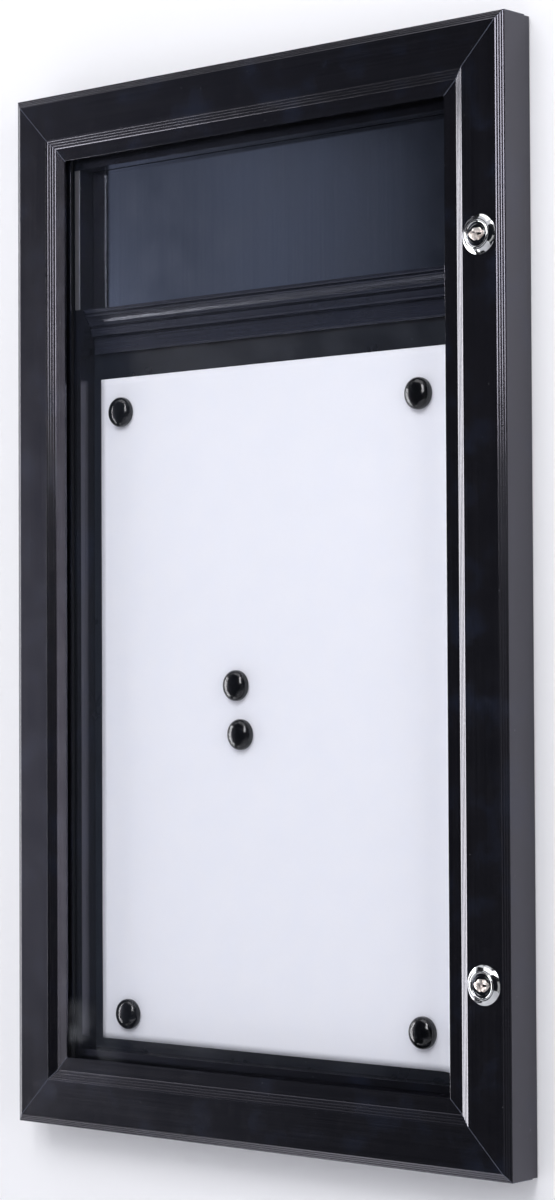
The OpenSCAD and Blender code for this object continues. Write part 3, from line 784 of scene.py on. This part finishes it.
@dataclass
class Assembly:
    """A group of pieces that is built and dressed together."""

    made: list[str] = field(default_factory=list, init=False)

    def coat(self, finish: Finish, *nodes: str, width: float = 0.15, turn: float = 50.0,
             axis: Point = ANY_WAY) -> None:
        """Give carried-over CAD nodes a finish and rounded edges.

        Args:
            finish: the finish.
            nodes: the CAD nodes' names.
            width: the rounding of their edges, or 0 for none.
            turn: the least angle, in degrees, of an edge that is rounded.
            axis: the way a profile runs, whose long edges alone are rounded.
        """
        for node in nodes:
            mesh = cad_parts[node].data
            mesh.materials.clear()
            mesh.materials.append(finish.material())
            if width:
                soften(node, width, turn, axis)
            self.made.append(node)
            LOG.info("dressed %s in %s", node, finish.name)

    def place(self, piece: Object, finish: Finish, body: str, slot: str, *nodes: str) -> None:
        """Dress a new piece and put it on its body in place of CAD nodes.

        Args:
            piece: the new object.
            finish: its finish.
            body: the body it rides on.
            slot: the record's material slot; not used.
            nodes: the CAD nodes that it replaces.
        """
        piece.data.materials.append(finish.material())
        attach(piece, body)
        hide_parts(*nodes)
        self.made.append(piece.name)
        LOG.info("built %s on %s", piece.name, body)


@dataclass
class DoorFrame(Assembly):
    """The door's four mitred profiles, with what holds them and the pane."""

    def build(self) -> None:
        """Dress the profiles, corner cleats, screws, pane, gasket, beads and seal."""
        self.coat(DOOR_STILE_METAL, "door_stile_left", "door_stile_right", width=0.16, turn=45.0, axis=UP)
        self.coat(DOOR_RAIL_METAL, "door_rail_top", "door_rail_bottom", width=0.16, turn=45.0, axis=ACROSS)
        self.coat(STILE_METAL, "glazing_bead_left", "glazing_bead_right")
        self.coat(RAIL_METAL, "glazing_bead_top", "glazing_bead_bottom")
        self.coat(TRIM_METAL, "door_corner_cleats")
        self.coat(ZINC, "door_cleat_screws", width=0.0)
        self.coat(RUBBER, "glazing_gasket", "door_seal", width=0.12)
        self.coat(PANE, "glazing", width=0.0)


@dataclass
class CaseFrame(Assembly):
    """The case behind the door, with its back panel."""

    def build(self) -> None:
        """Dress the profiles, corner cleats, screws and back panel."""
        self.coat(STILE_METAL, "back_frame_left", "back_frame_right", turn=59.0, axis=UP)
        self.coat(RAIL_METAL, "back_frame_top", "back_frame_bottom", turn=59.0, axis=ACROSS)
        self.coat(TRIM_METAL, "back_corner_cleats")
        self.coat(ZINC, "back_cleat_screws", width=0.0)
        self.coat(BACK_STEEL, "back_panel", width=0.1)


@dataclass
class HeaderCompartment(Assembly):
    """The header's brushed panel, stepped bar, end plates, screws and trims."""

    half_run: float = 146.6
    top: float = 190.15
    height: float = 28.1
    front: float = 12.0
    flange_front: float = 21.1
    back: float = 22.45
    edge: float = 0.22

    def bar(self) -> Object:
        """Extrude the bar: a beaded cap over a cove, a ridge with an undercut, a step and a flange.

        Returns:
            The bar.
        """
        front, flange = self.front, self.flange_front
        cap = [(0.0, front), (1.6, front + 0.5), (2.3, front + 0.2), (2.5, front + 1.8),
               (3.2, front + 1.8), (3.4, front + 1.1), (4.4, front + 0.7)]
        cove = [(4.8, front + 1.6), (6.6, front + 3.2), (8.5, front + 4.4)]
        ridge = [(8.9, front + 4.2), (10.2, front + 3.6), (10.5, front + 6.4), (11.4, front + 6.4)]
        step = [(11.7, front + 5.6), (15.2, front + 6.5), (15.5, front + 6.4), (16.6, front + 6.0),
                (16.9, flange), (17.4, flange + 0.5)]
        foot = [(17.8, flange), (self.height - 1.6, flange + 0.1), (self.height - 0.5, flange - 0.3),
                (self.height, flange + 0.2)]
        rear = [(self.height, self.back), (0.0, self.back)]
        outline = [(self.top - drop, depth) for drop, depth in cap + cove + ridge + step + foot + rear]
        return extrusion("header_bar_profile", outline, self.half_run, self.edge)

    def build(self) -> None:
        """Build the bar and dress the header's other nodes."""
        self.place(self.bar(), BAR_METAL, "case", "black_anodised", "header_bar")
        self.coat(HEADER_METAL, "header_panel", width=0.0)
        self.coat(RAIL_METAL, "header_bar_ends")
        self.coat(ZINC, "header_bar_screws", width=0.0)
        self.coat(TRIM_METAL, "header_trims", width=0.08)


@dataclass
class Hinge(Assembly):
    """The piano hinge at the left edge."""

    def build(self) -> None:
        """Dress the leaves, pin and screws."""
        self.coat(BLACK_STEEL, "hinge_case_leaf", "hinge_door_leaf", width=0.1)
        self.coat(BLACK_STEEL, "hinge_case_screws", "hinge_door_screws", width=0.0)
        self.coat(ZINC, "hinge_pin", width=0.0)


@dataclass
class CamLock(Assembly):
    """A chrome cam lock: a conical escutcheon on a barrel, and a plug with a keyway insert."""

    name: str
    x: float
    z: float
    out: float = 3.1
    flange_r: float = 11.5
    cone_r: float = 8.95
    rim_r: float = 8.4
    face_r: float = 6.9
    dish_d: float = 0.65
    barrel_r: float = 8.0
    barrel_end: float = 14.9
    plug_r: float = 5.5
    neck_r: float = 4.6
    plug_end: float = 15.05
    square: float = 6.0
    square_end: float = 17.1
    play: float = 0.05
    chamfer: float = 0.12
    # The gutter between rim and cone, the cone's upper and lower edge, and its swell
    gutter_d: float = 1.15
    cone_d: float = 0.75
    flange_edge: float = 0.45
    cone_swell: float = 0.12
    thread_start: float = 0.35
    thread_pitch: float = 0.75
    thread_d: float = 0.28
    thread_turns: int = 18
    insert_half: float = 5.2
    insert_half_h: float = 3.5
    insert_d: float = 0.34
    recess_d: float = 0.35
    hole_x: float = 1.7
    hole_half: float = 1.7
    hole_r: float = 0.75
    key_end: float = 2.9
    steps: int = 144

    def insert_radius(self, angle: float) -> float:
        """Give the radius of the insert's scalloped outline at an angle."""
        oval = 1 / math.hypot(math.cos(angle) / self.insert_half, math.sin(angle) / self.insert_half_h)
        return oval * (1 + 0.06 * math.cos(6 * angle) + 0.03 * math.sin(9 * angle))

    def housing(self) -> Object:
        """Build the escutcheon and threaded barrel as one closed surface.

        Returns:
            The housing.
        """
        front, dish = -self.out, self.dish_d - self.out
        neck, bore, gutter = self.neck_r + self.play, self.plug_r + self.play, front + self.gutter_d
        profile = [(neck, self.barrel_end), (neck, 0.0), (bore, 0.0), (bore, dish + self.chamfer),
                   (bore + self.chamfer, dish), (self.face_r - 0.25, dish)]
        middle, half = (self.face_r + self.rim_r) / 2, (self.rim_r - self.face_r) / 2
        bends = [math.radians(a) for a in range(180, -1, -15)]
        profile += [(middle + half * math.cos(a), front + half * (1 - math.sin(a))) for a in bends]
        profile += [(self.rim_r + 0.02, gutter), (self.cone_r - 0.3, gutter)]
        run, drop = self.flange_r - 0.1 - self.cone_r, self.out - self.cone_d - self.flange_edge
        profile += [(self.cone_r + run * t,
                     front + self.cone_d + drop * t + self.cone_swell * math.sin(math.pi * t))
                    for t in (-0.06, 0.0, 0.25, 0.5, 0.75, 1.0)]
        profile += [(self.flange_r, -0.25), (self.flange_r, 0.0), (self.barrel_r, 0.0)]
        for turn in range(self.thread_turns):
            crest = self.thread_start + turn * self.thread_pitch
            profile += [(self.barrel_r, crest),
                        (self.barrel_r - self.thread_d, crest + self.thread_pitch / 2)]
        profile += [(self.barrel_r, self.barrel_end - 0.9), (self.barrel_r - 0.3, self.barrel_end)]
        profile.append(profile[0])
        rings = [around(self.x, self.z, depth, radius) for radius, depth in profile]
        return skin("lock_escutcheon_" + self.name, rings, sharp_angle=24.0)

    def plug(self) -> Object:
        """Build the plug, with a recess for its insert and the square that carries the cam.

        Returns:
            The plug.
        """
        face, half = self.dish_d - self.out, self.square / 2
        floor = face + self.recess_d

        def square(angle: float) -> float:
            """Give the radius of the square that carries the cam."""
            return half / max(abs(math.cos(angle)), abs(math.sin(angle)))

        stack = [(0, self.square_end), (square, self.square_end), (square, self.plug_end),
                 (self.neck_r, self.plug_end), (self.neck_r, -self.play), (self.plug_r, -self.play),
                 (self.plug_r, face + 0.15), (self.plug_r - 0.1, face),
                 (lambda a: min(self.insert_radius(a) + 0.06, self.plug_r - 0.12), face),
                 (lambda a: min(self.insert_radius(a) + 0.04, self.plug_r - 0.2), floor),
                 (lambda a: self.insert_radius(a) * 0.3, floor), (1.2, self.key_end),
                 (0, self.key_end)]
        rings = [around(self.x, self.z, depth, radius, self.steps) for radius, depth in stack]
        return skin("lock_plug_face_" + self.name, rings, sharp_angle=30.0)

    def insert(self) -> Object:
        """Build the cast insert around the keyway: scalloped, crowned, with wards and an open end.

        Returns:
            The insert.
        """
        face, floor = self.dish_d - self.out, self.dish_d - self.out + self.insert_d

        def ring(share: float, depth: float, shift: float = 0.0, ragged: float = 0.0) -> Ring:
            """Lay one ring of the insert.

            Args:
                share: its size, as a share of the outline.
                depth: how far behind the face of the door it lies.
                shift: how far it is drawn in towards the keyway.
                ragged: how rough it is, as cast.

            Returns:
                Its points.
            """
            points = around(self.x + shift, self.z, depth, lambda a: self.insert_radius(a) * share,
                            self.steps)
            lumps = (math.sin(0.61 * i + 9 * share) * math.sin(0.23 * i * (1 + share))
                     for i in range(self.steps))
            return [point + Vector((0, ragged * MM * lump, 0)) for point, lump in zip(points, lumps)]

        def keyway(angle: float) -> float:
            """Give the keyway's outline: a waisted slot with a round end."""
            slot = 1 / math.hypot(math.cos(angle) / self.hole_half, math.sin(angle) / self.hole_r)
            return slot * (1 + 0.3 * math.cos(3 * angle))

        hole = [around(self.x + self.hole_x, self.z, depth, keyway, self.steps)
                for depth in (face - 0.1, floor)]
        rings = [ring(0.6, floor), ring(0.99, floor), ring(1.0, face - 0.05),
                 ring(0.94, face - 0.3, 0.0, 0.03), ring(0.8, face - 0.38, 0.1, 0.06),
                 ring(0.62, face - 0.38, 0.4, 0.06), *hole]
        return skin("lock_keyway_" + self.name, rings + [rings[0]], sharp_angle=40.0)

    def build(self) -> None:
        """Build the chrome pieces and dress the nut, cam and screw."""
        self.place(self.housing(), CHROME, "door", "chrome", "lock_housing_" + self.name)
        for piece, finish in ((self.plug(), CHROME), (self.insert(), KEYWAY_METAL)):
            self.place(piece, finish, "lock_" + self.name, "chrome", "lock_plug_" + self.name)
        self.coat(ZINC, "lock_nut_" + self.name, "lock_cam_" + self.name)
        self.coat(ZINC, "lock_cam_screw_" + self.name, width=0.0)


@dataclass
class Magnet(Assembly):
    """A round office magnet: a domed cap over a ferrite disc."""

    name: str
    x: float
    z: float
    radius: float = 9.5
    height: float = 6.8
    side: float = 1.8
    back: float = 23.05
    pocket_r: float = 8.05
    pocket_d: float = 2.05
    # The rounding of its foot, how full its dome is, and the steps of the dome's arc
    foot: float = 0.45
    bulge: float = 0.92
    dome_steps: int = 18

    def cap(self) -> Object:
        """Turn the domed cap with its pocket.

        Returns:
            The cap.
        """
        rise = self.height - self.side
        profile = [(0.0, self.back - self.pocket_d), (self.pocket_r, self.back - self.pocket_d),
                   (self.pocket_r, self.back), (self.radius - self.foot, self.back),
                   (self.radius - 0.12, self.back - 0.12), (self.radius, self.back - self.foot)]
        for i in range(self.dome_steps + 1):
            angle = math.pi / 2 * i / self.dome_steps
            profile.append((self.radius * math.cos(angle) ** self.bulge if i < self.dome_steps else 0.0,
                            self.back - self.side - rise * math.sin(angle)))
        rings = [around(self.x, self.z, depth, radius, steps=72) for radius, depth in profile]
        return skin("magnet_dome_" + self.name, rings, sharp_angle=40.0)

    def build(self) -> None:
        """Build the cap and dress the ferrite disc."""
        body = "magnet_" + self.name
        self.place(self.cap(), CAP_PLASTIC, body, "gloss_black_plastic", "magnet_cap_" + self.name)
        self.coat(FERRITE, "magnet_ferrite_" + self.name, width=0.12)


@dataclass
class CurledSheet(Assembly):
    """The paper sheet, flat under its magnets and curled forward along its right edge."""

    magnets: Sequence[Pair]
    left: float = -142.7
    bottom: float = -274.05
    width: float = 297.0
    height: float = 420.0
    thickness: float = 0.25
    depth: float = 23.35
    end_x: float = 148.5
    curl_top: float = 80.0
    curl_foot: float = 70.0
    foot_height: float = 90.0
    swell: float = 0.45
    # The sheet lies flat this near to a magnet, and swells in full this much further off.
    held_r: float = 11.0
    free_run: float = 60.0
    # The swell's waves: one across, one up, and the slant of the latter
    waves: Triple = (47.0, 61.0, 95.0)
    # How finely the flat part, the whole width, the curl and the height are divided
    flat_steps: int = 59
    whole_steps: int = 66
    curl_steps: int = 30
    up_steps: int = 96

    def lie(self, along: float, curl: float) -> Pair:
        """Place a point of the sheet, whose curl keeps its width and ends at the case's wall.

        Args:
            along: its distance from the left edge along the sheet.
            curl: the angle that the right edge turns by, in degrees.

        Returns:
            How far right and how far forward it lies.
        """
        angle = math.radians(curl)
        radius = (self.left + self.width - self.end_x) / (angle - math.sin(angle))
        start = self.width - radius * angle
        turned = max(0.0, along - start) / radius
        return min(along, start) + radius * math.sin(turned), radius * (1 - math.cos(turned))

    def lift(self, x: float, z: float) -> float:
        """Give how far the flat sheet swells forward at a place, none of it under a magnet.

        Args:
            x: the place, from the middle of the board.
            z: the place, from the middle of the board.

        Returns:
            The swell in millimetres.
        """
        near = min(math.hypot(x - a, z - b) for a, b in self.magnets)
        free = min(1.0, max(0.0, (near - self.held_r) / self.free_run))
        across, up, slant = self.waves
        wave = 0.5 + 0.3 * math.sin(x / across + 0.8) + 0.2 * math.sin(z / up + x / slant)
        return self.swell * free * free * (3 - 2 * free) * wave

    def sheet(self) -> Object:
        """Build the sheet as a fine grid with its thickness behind.

        Returns:
            The sheet.
        """
        flat = [self.width * i / self.whole_steps for i in range(self.flat_steps + 1)]
        curled = [flat[-1] + (self.width - flat[-1]) * i / self.curl_steps
                  for i in range(1, self.curl_steps + 1)]
        build = bmesh.new()
        rows = []
        for step in range(self.up_steps + 1):
            up = self.height * step / self.up_steps
            low = max(0.0, 1 - up / self.foot_height)
            curl = self.curl_top + (self.curl_foot - self.curl_top) * low ** 1.5
            row = []
            for along in flat + curled:
                right, forward = self.lie(along, curl)
                x, z = self.left + right, self.bottom + up
                row.append(build.verts.new(at_depth(x, self.depth - forward - self.lift(x, z), z)))
            rows.append(row)
        for one, two in zip(rows, rows[1:]):
            for i in range(len(one) - 1):
                build.faces.new((one[i], one[i + 1], two[i + 1], two[i]))
        piece = new_piece("sheet_on_panel", build, sharp_angle=60.0)
        solid = piece.modifiers.new("thickness", "SOLIDIFY")
        solid.thickness = self.thickness * MM
        solid.offset = -1.0
        return piece

    def build(self) -> None:
        """Build the sheet and put it in the case."""
        self.place(self.sheet(), PAPER, "case", "paper", "paper_sheet")


# Studio


@dataclass(frozen=True)
class SoftBox:
    """An oblong lamp, with its sizes in metres. Its radiance lights the board and shows in mirrors,
    unless it isn't mirrored. Its glare shows in mirrors alone, as of a box masked from the wall."""

    name: str
    centre: Point
    target: Point
    width: float
    height: float
    radiance: float
    mirrored: bool = True
    glare: float = 0.0
    # Where two lamps share a place, mirrors show one alone, so the glare hangs this much nearer.
    nearer: float = 0.01

    def hang(self, name: str, radiance: float, nearer: float = 0.0) -> Object:
        """Hang one lamp and point it at the target.

        Args:
            name: the lamp's name.
            radiance: its brightness.
            nearer: how much nearer to the target than the centre it hangs, in metres.

        Returns:
            The lamp's object.
        """
        lamp = bpy.data.lights.new(name, "AREA")
        lamp.shape = "RECTANGLE"
        lamp.size, lamp.size_y = self.width, self.height
        lamp.energy = radiance * math.pi * self.width * self.height
        holder = new_object(name, lamp)
        aim = Vector(self.target) - Vector(self.centre)
        holder.location = Vector(self.centre) + aim.normalized() * nearer
        holder.rotation_mode = "QUATERNION"
        holder.rotation_quaternion = aim.to_track_quat("-Z", "Y")
        holder.visible_camera = False
        return holder

    def build(self) -> None:
        """Hang the lamp and its glare."""
        self.hang(self.name, self.radiance).visible_glossy = self.mirrored
        if self.glare:
            self.hang(self.name + "_glare", self.glare, self.nearer).visible_diffuse = False


@dataclass(frozen=True)
class Painted(Grained):
    """Emulsion paint rolled on plaster. It is dull, with a faint stipple."""

    wear: Noise = Noise(2.5)
    uneven: Pair = (0.05, 0.05)

    def dress(self, look: Look) -> Socket:
        """Draw the stipple and leave out the face's back."""
        look.tree.links.new(self.rough(look), look.shader.inputs["Roughness"])
        return look.one_sided(look.shader.outputs[0])


@dataclass(frozen=True)
class LitCloth(Finish):
    """Black studio cloth with some daylight coming through it at the left, low down. It gives flat
    black metal its faint blue shade, stronger and greyer to the left."""

    glow: str = "#AEB8D0"
    warm: str = "#B9B3C2"
    # Each glow goes from one strength to another between two angles around the board, in degrees
    # and positive to the right, or between two heights in metres.
    veil: Ramp = (0.13, 0.02, -43.0, -37.0)
    edge: Ramp = (1.0, 0.0, -50.4, -48.8)
    edge_share: float = 0.5
    bright: Ramp = (0.42, 0.0, -46.2, -44.6)
    low: Ramp = (1.0, 0.15, 0.1, 0.7)
    foot: Ramp = (0.1, 1.0, -0.58, -0.46)
    window: Ramp = (-0.03, 0.1, -45.0, -42.0)
    # The window's patch of light has its middle and half its size at this height and this angle.
    window_z: Pair = (0.62, 0.15)
    window_turn: Pair = (-41.6, 5.0)

    def dress(self, look: Look) -> Socket:
        """Let the cloth glow by its angle around the board and its height.

        Args:
            look: the material in the making.

        Returns:
            What the surface shows.
        """
        height, front = look.along("Z"), look.maths("MULTIPLY", look.along("Y"), -1.0)
        turned = look.maths("DEGREES", look.maths("ARCTAN2", look.along("X"), front))
        edge = look.fit(turned, *self.edge)
        bright = look.maths("MULTIPLY_ADD", edge, self.edge_share, look.fit(turned, *self.bright))
        low = look.maths("MULTIPLY", look.fit(height, *self.low), look.fit(height, *self.foot))
        total = look.maths("MULTIPLY_ADD", bright, low, look.fit(turned, *self.veil))
        patch = look.maths("MULTIPLY", look.maths("COMPARE", height, *self.window_z),
                           look.maths("COMPARE", turned, *self.window_turn))
        total = look.maths("MULTIPLY_ADD", patch, look.fit(turned, *self.window), total)
        tone = look.blend(edge, self.glow, self.warm)
        light = add(look.tree, "ShaderNodeEmission", {"Color": tone, "Strength": total})
        return look.one_sided(light.outputs[0])


WALL_PAINT = Painted("rolled_white_emulsion", "#F1F1F5", 0.85)
FLOOR_PAINT = Painted("rolled_pale_floor_paint", "#E4E4E6", 0.8)
BLACK_CLOTH = Painted("black_studio_cloth", "#0B0B0D", 0.95)
LIT_CLOTH = LitCloth("black_cloth_lit_through", "#0B0B0D", 0.95)


@dataclass
class Studio:
    """The wall, floor, lamps, black cloths, sky and camera. Sizes here are in metres, but the
    lens and its sensor are in millimetres and the camera's angles in degrees."""

    floor_z: float = -1.4
    reach: float = 6.0
    wall_top: float = 4.0
    wall_gap: float = 0.0006
    hole_x: float = 0.185
    hole_z: float = 0.315
    # The black cloths: their circle, the heights of its left end and its front, where each of
    # the hung ones and the laid one ends, in degrees, and how far in the laid one reaches
    cloth_r: float = 2.6
    low_top: float = 1.6
    high_top: float = 2.6
    cloth_ends: Triple = (-70.0, -55.0, 95.0)
    laid_end: float = -12.0
    laid_share: float = 0.45
    cloth_gap: float = 0.02
    roof_x: Pair = (-4.5, -1.25)
    roof_y: float = -0.95
    lens: float = 90.52
    yaw: float = 41.454
    pitch: float = 1.847
    roll: float = -0.269
    eye: Point = (1.21916, -1.37521, -0.05806)
    sensor: float = 36.0
    clip: Pair = (0.05, 60.0)

    def panel(self, name: str, loops: Sequence[Sequence[Point]], finish: Finish) -> Object:
        """Make a stage surface from faces given by their corners.

        Args:
            name: the object's name.
            loops: the corners of each face.
            finish: its paint.

        Returns:
            The stage object.
        """
        build = bmesh.new()
        for loop in loops:
            build.faces.new([build.verts.new(corner) for corner in loop])
        made = new_piece(name, build, sharp_angle=30.0)
        made.data.materials.append(finish.material())
        return made

    def wall(self) -> None:
        """Put the wall behind the board, with a hole behind it that lets light reach its back."""
        far, low, top = self.reach, self.floor_z, self.wall_top
        x, z, y = self.hole_x, self.hole_z, self.wall_gap
        self.panel("wall", [
            ((-far, y, low), (-x, y, low), (-x, y, top), (-far, y, top)),
            ((x, y, low), (far, y, low), (far, y, top), (x, y, top)),
            ((-x, y, low), (x, y, low), (x, y, -z), (-x, y, -z)),
            ((-x, y, z), (x, y, z), (x, y, top), (-x, y, top))], WALL_PAINT)

    def floor(self) -> None:
        """Lay the floor below the picture."""
        far, z = self.reach, self.floor_z
        self.panel("floor", [((-far, -far, z), (far, -far, z), (far, far, z), (-far, far, z))],
                   FLOOR_PAINT)

    def arc(self, start: float, end: float, steps: int) -> list[Pair]:
        """Lay points on the cloths' circle around the board, from one angle to another.

        Args:
            start: the first angle from straight ahead, in degrees, positive to the right.
            end: the last angle.
            steps: how many spans there are.

        Returns:
            The X and Y of each point.
        """
        angles = [math.radians(start + (end - start) * i / steps) for i in range(steps + 1)]
        return [(self.cloth_r * math.sin(a), -self.cloth_r * math.cos(a)) for a in angles]

    def cloths(self) -> None:
        """Hang and lay the black cloths that keep the front faces dark. Only mirrors see them."""
        foot, share = self.floor_z + self.cloth_gap, self.laid_share
        start, corner, end = self.cloth_ends
        left, front = self.arc(start, corner, steps=6), self.arc(corner, end, steps=50)
        ground = self.arc(start, self.laid_end, steps=14)
        hung = [((*b, foot), (*a, foot), (*a, top), (*b, top))
                for line, top in ((left, self.low_top), (front, self.high_top))
                for a, b in zip(line, line[1:])]
        laid = [((*a, foot), (*b, foot), *((x * share, y * share, foot) for x, y in (b, a)))
                for a, b in zip(ground, ground[1:])]
        (far, near), out, top = self.roof_x, self.roof_y, self.high_top
        roof = [((far, 0.0, top), (near, 0.0, top), (near, out, top), (far, out, top))]
        for cloth in (self.panel("hung_cloth", hung, LIT_CLOTH), self.panel("laid_cloth", laid, BLACK_CLOTH),
                      self.panel("roof_cloth", roof, BLACK_CLOTH)):
            for rays in ("camera", "diffuse", "shadow", "transmission"):
                setattr(cloth, "visible_" + rays, False)

    def lamps(self) -> None:
        """Hang the soft boxes."""
        for box in (
                SoftBox("left_box", (-1.55, -0.42, -0.2), (0.0, 0.0, -0.05), 0.85, 1.66, 2.0, glare=6.5),
                SoftBox("right_box", (0.54, -1.48, 0.86), (0.19, 0.0, 0.2), 0.42, 1.25, 5.4, glare=6.0),
                SoftBox("side_box", (1.06, -1.48, -0.45), (0.19, 0.0, 0.0), 0.22, 1.2, 0.5),
                SoftBox("low_box", (-0.80, -0.66, -1.3), (0.1, -0.1, -0.33), 0.4, 0.3, 1.8),
                SoftBox("high_fill", (0.1, -2.0, 1.7), (0.0, 0.0, 0.0), 2.2, 1.2, 3.1, False),
                SoftBox("right_fill", (2.3, -0.95, 0.3), (0.0, 0.0, 0.0), 0.9, 2.2, 3.6, False),
                SoftBox("overhead_box", (-0.35, -1.0, 2.0), (0.0, 0.0, 0.0), 1.7, 0.8, 1.5),
                SoftBox("back_fill", (0.6, 2.4, 0.9), (0.0, 0.0, 0.0), 1.8, 1.8, 1.6)):
            box.build()

    def sky(self) -> None:
        """Make the room around: pale to the eye and to mirrors, dim as a light."""
        world = bpy.data.worlds.new("studio_room")
        bpy.context.scene.world = world
        world.use_nodes = True
        tree = world.node_tree
        tree.nodes.clear()
        rays = add(tree, "ShaderNodeLightPath")
        seen = rays.outputs["Is Camera Ray"]
        for kind in ("Is Glossy Ray", "Is Transmission Ray"):
            seen = maths(tree, "MAXIMUM", seen, rays.outputs[kind])
        tone = add(tree, "ShaderNodeMix", {0: seen, 6: linear("#8A8B90"), 7: linear("#EEEEF2")},
                   data_type="RGBA").outputs[2]
        light = add(tree, "ShaderNodeBackground", {"Color": tone, "Strength": 1.0})
        add(tree, "ShaderNodeOutputWorld", {"Surface": light.outputs[0]})

    def camera(self) -> None:
        """Set the camera where the photograph was taken from."""
        yaw, pitch, roll = (math.radians(a) for a in (self.yaw, self.pitch, self.roll))
        ahead = Vector((-math.sin(yaw) * math.cos(pitch), math.cos(yaw) * math.cos(pitch),
                        math.sin(pitch)))
        level = Vector((math.cos(yaw), math.sin(yaw), 0.0))
        upright = level.cross(ahead)
        right = level * math.cos(roll) + upright * math.sin(roll)
        up = upright * math.cos(roll) - level * math.sin(roll)
        lens = bpy.data.cameras.new("photo_camera")
        lens.sensor_width = self.sensor
        lens.lens = self.lens
        lens.clip_start, lens.clip_end = self.clip
        lens.dof.use_dof = False
        holder = new_object("photo_camera", lens)
        turn = Matrix((right, up, -ahead)).transposed().to_4x4()
        holder.matrix_world = Matrix.Translation(self.eye) @ turn
        bpy.context.scene.camera = holder

    def build(self) -> None:
        """Set up the whole studio."""
        self.camera()
        self.wall()
        self.floor()
        self.cloths()
        self.lamps()
        self.sky()
        bpy.context.scene.view_settings.view_transform = "Standard"


MAGNETS = {"top_left": (-123.6, 123.85), "top_right": (119.0, 118.85),
           "middle_upper": (-25.7, -50.75), "middle_lower": (-22.2, -80.75),
           "bottom_left": (-118.6, -257.45), "bottom_right": (119.4, -252.75)}
LOCKS = {"upper": (181.15, 203.05), "lower": (181.15, -220.05)}


def main() -> None:
    """Build the studio and the board."""
    logging.basicConfig(level=logging.INFO, format="%(name)s: %(message)s")
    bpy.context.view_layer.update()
    Studio().build()
    parts: list[Assembly] = [DoorFrame(), CaseFrame(), HeaderCompartment(), Hinge()]
    parts += [CamLock(name, x, z) for name, (x, z) in LOCKS.items()]
    parts += [Magnet(name, x, z) for name, (x, z) in MAGNETS.items()]
    parts.append(CurledSheet(list(MAGNETS.values())))
    for part in parts:
        part.build()
        LOG.info("%s done: %d pieces", type(part).__name__, len(part.made))
    bpy.context.view_layer.update()


if __name__ == "__main__":
    main()
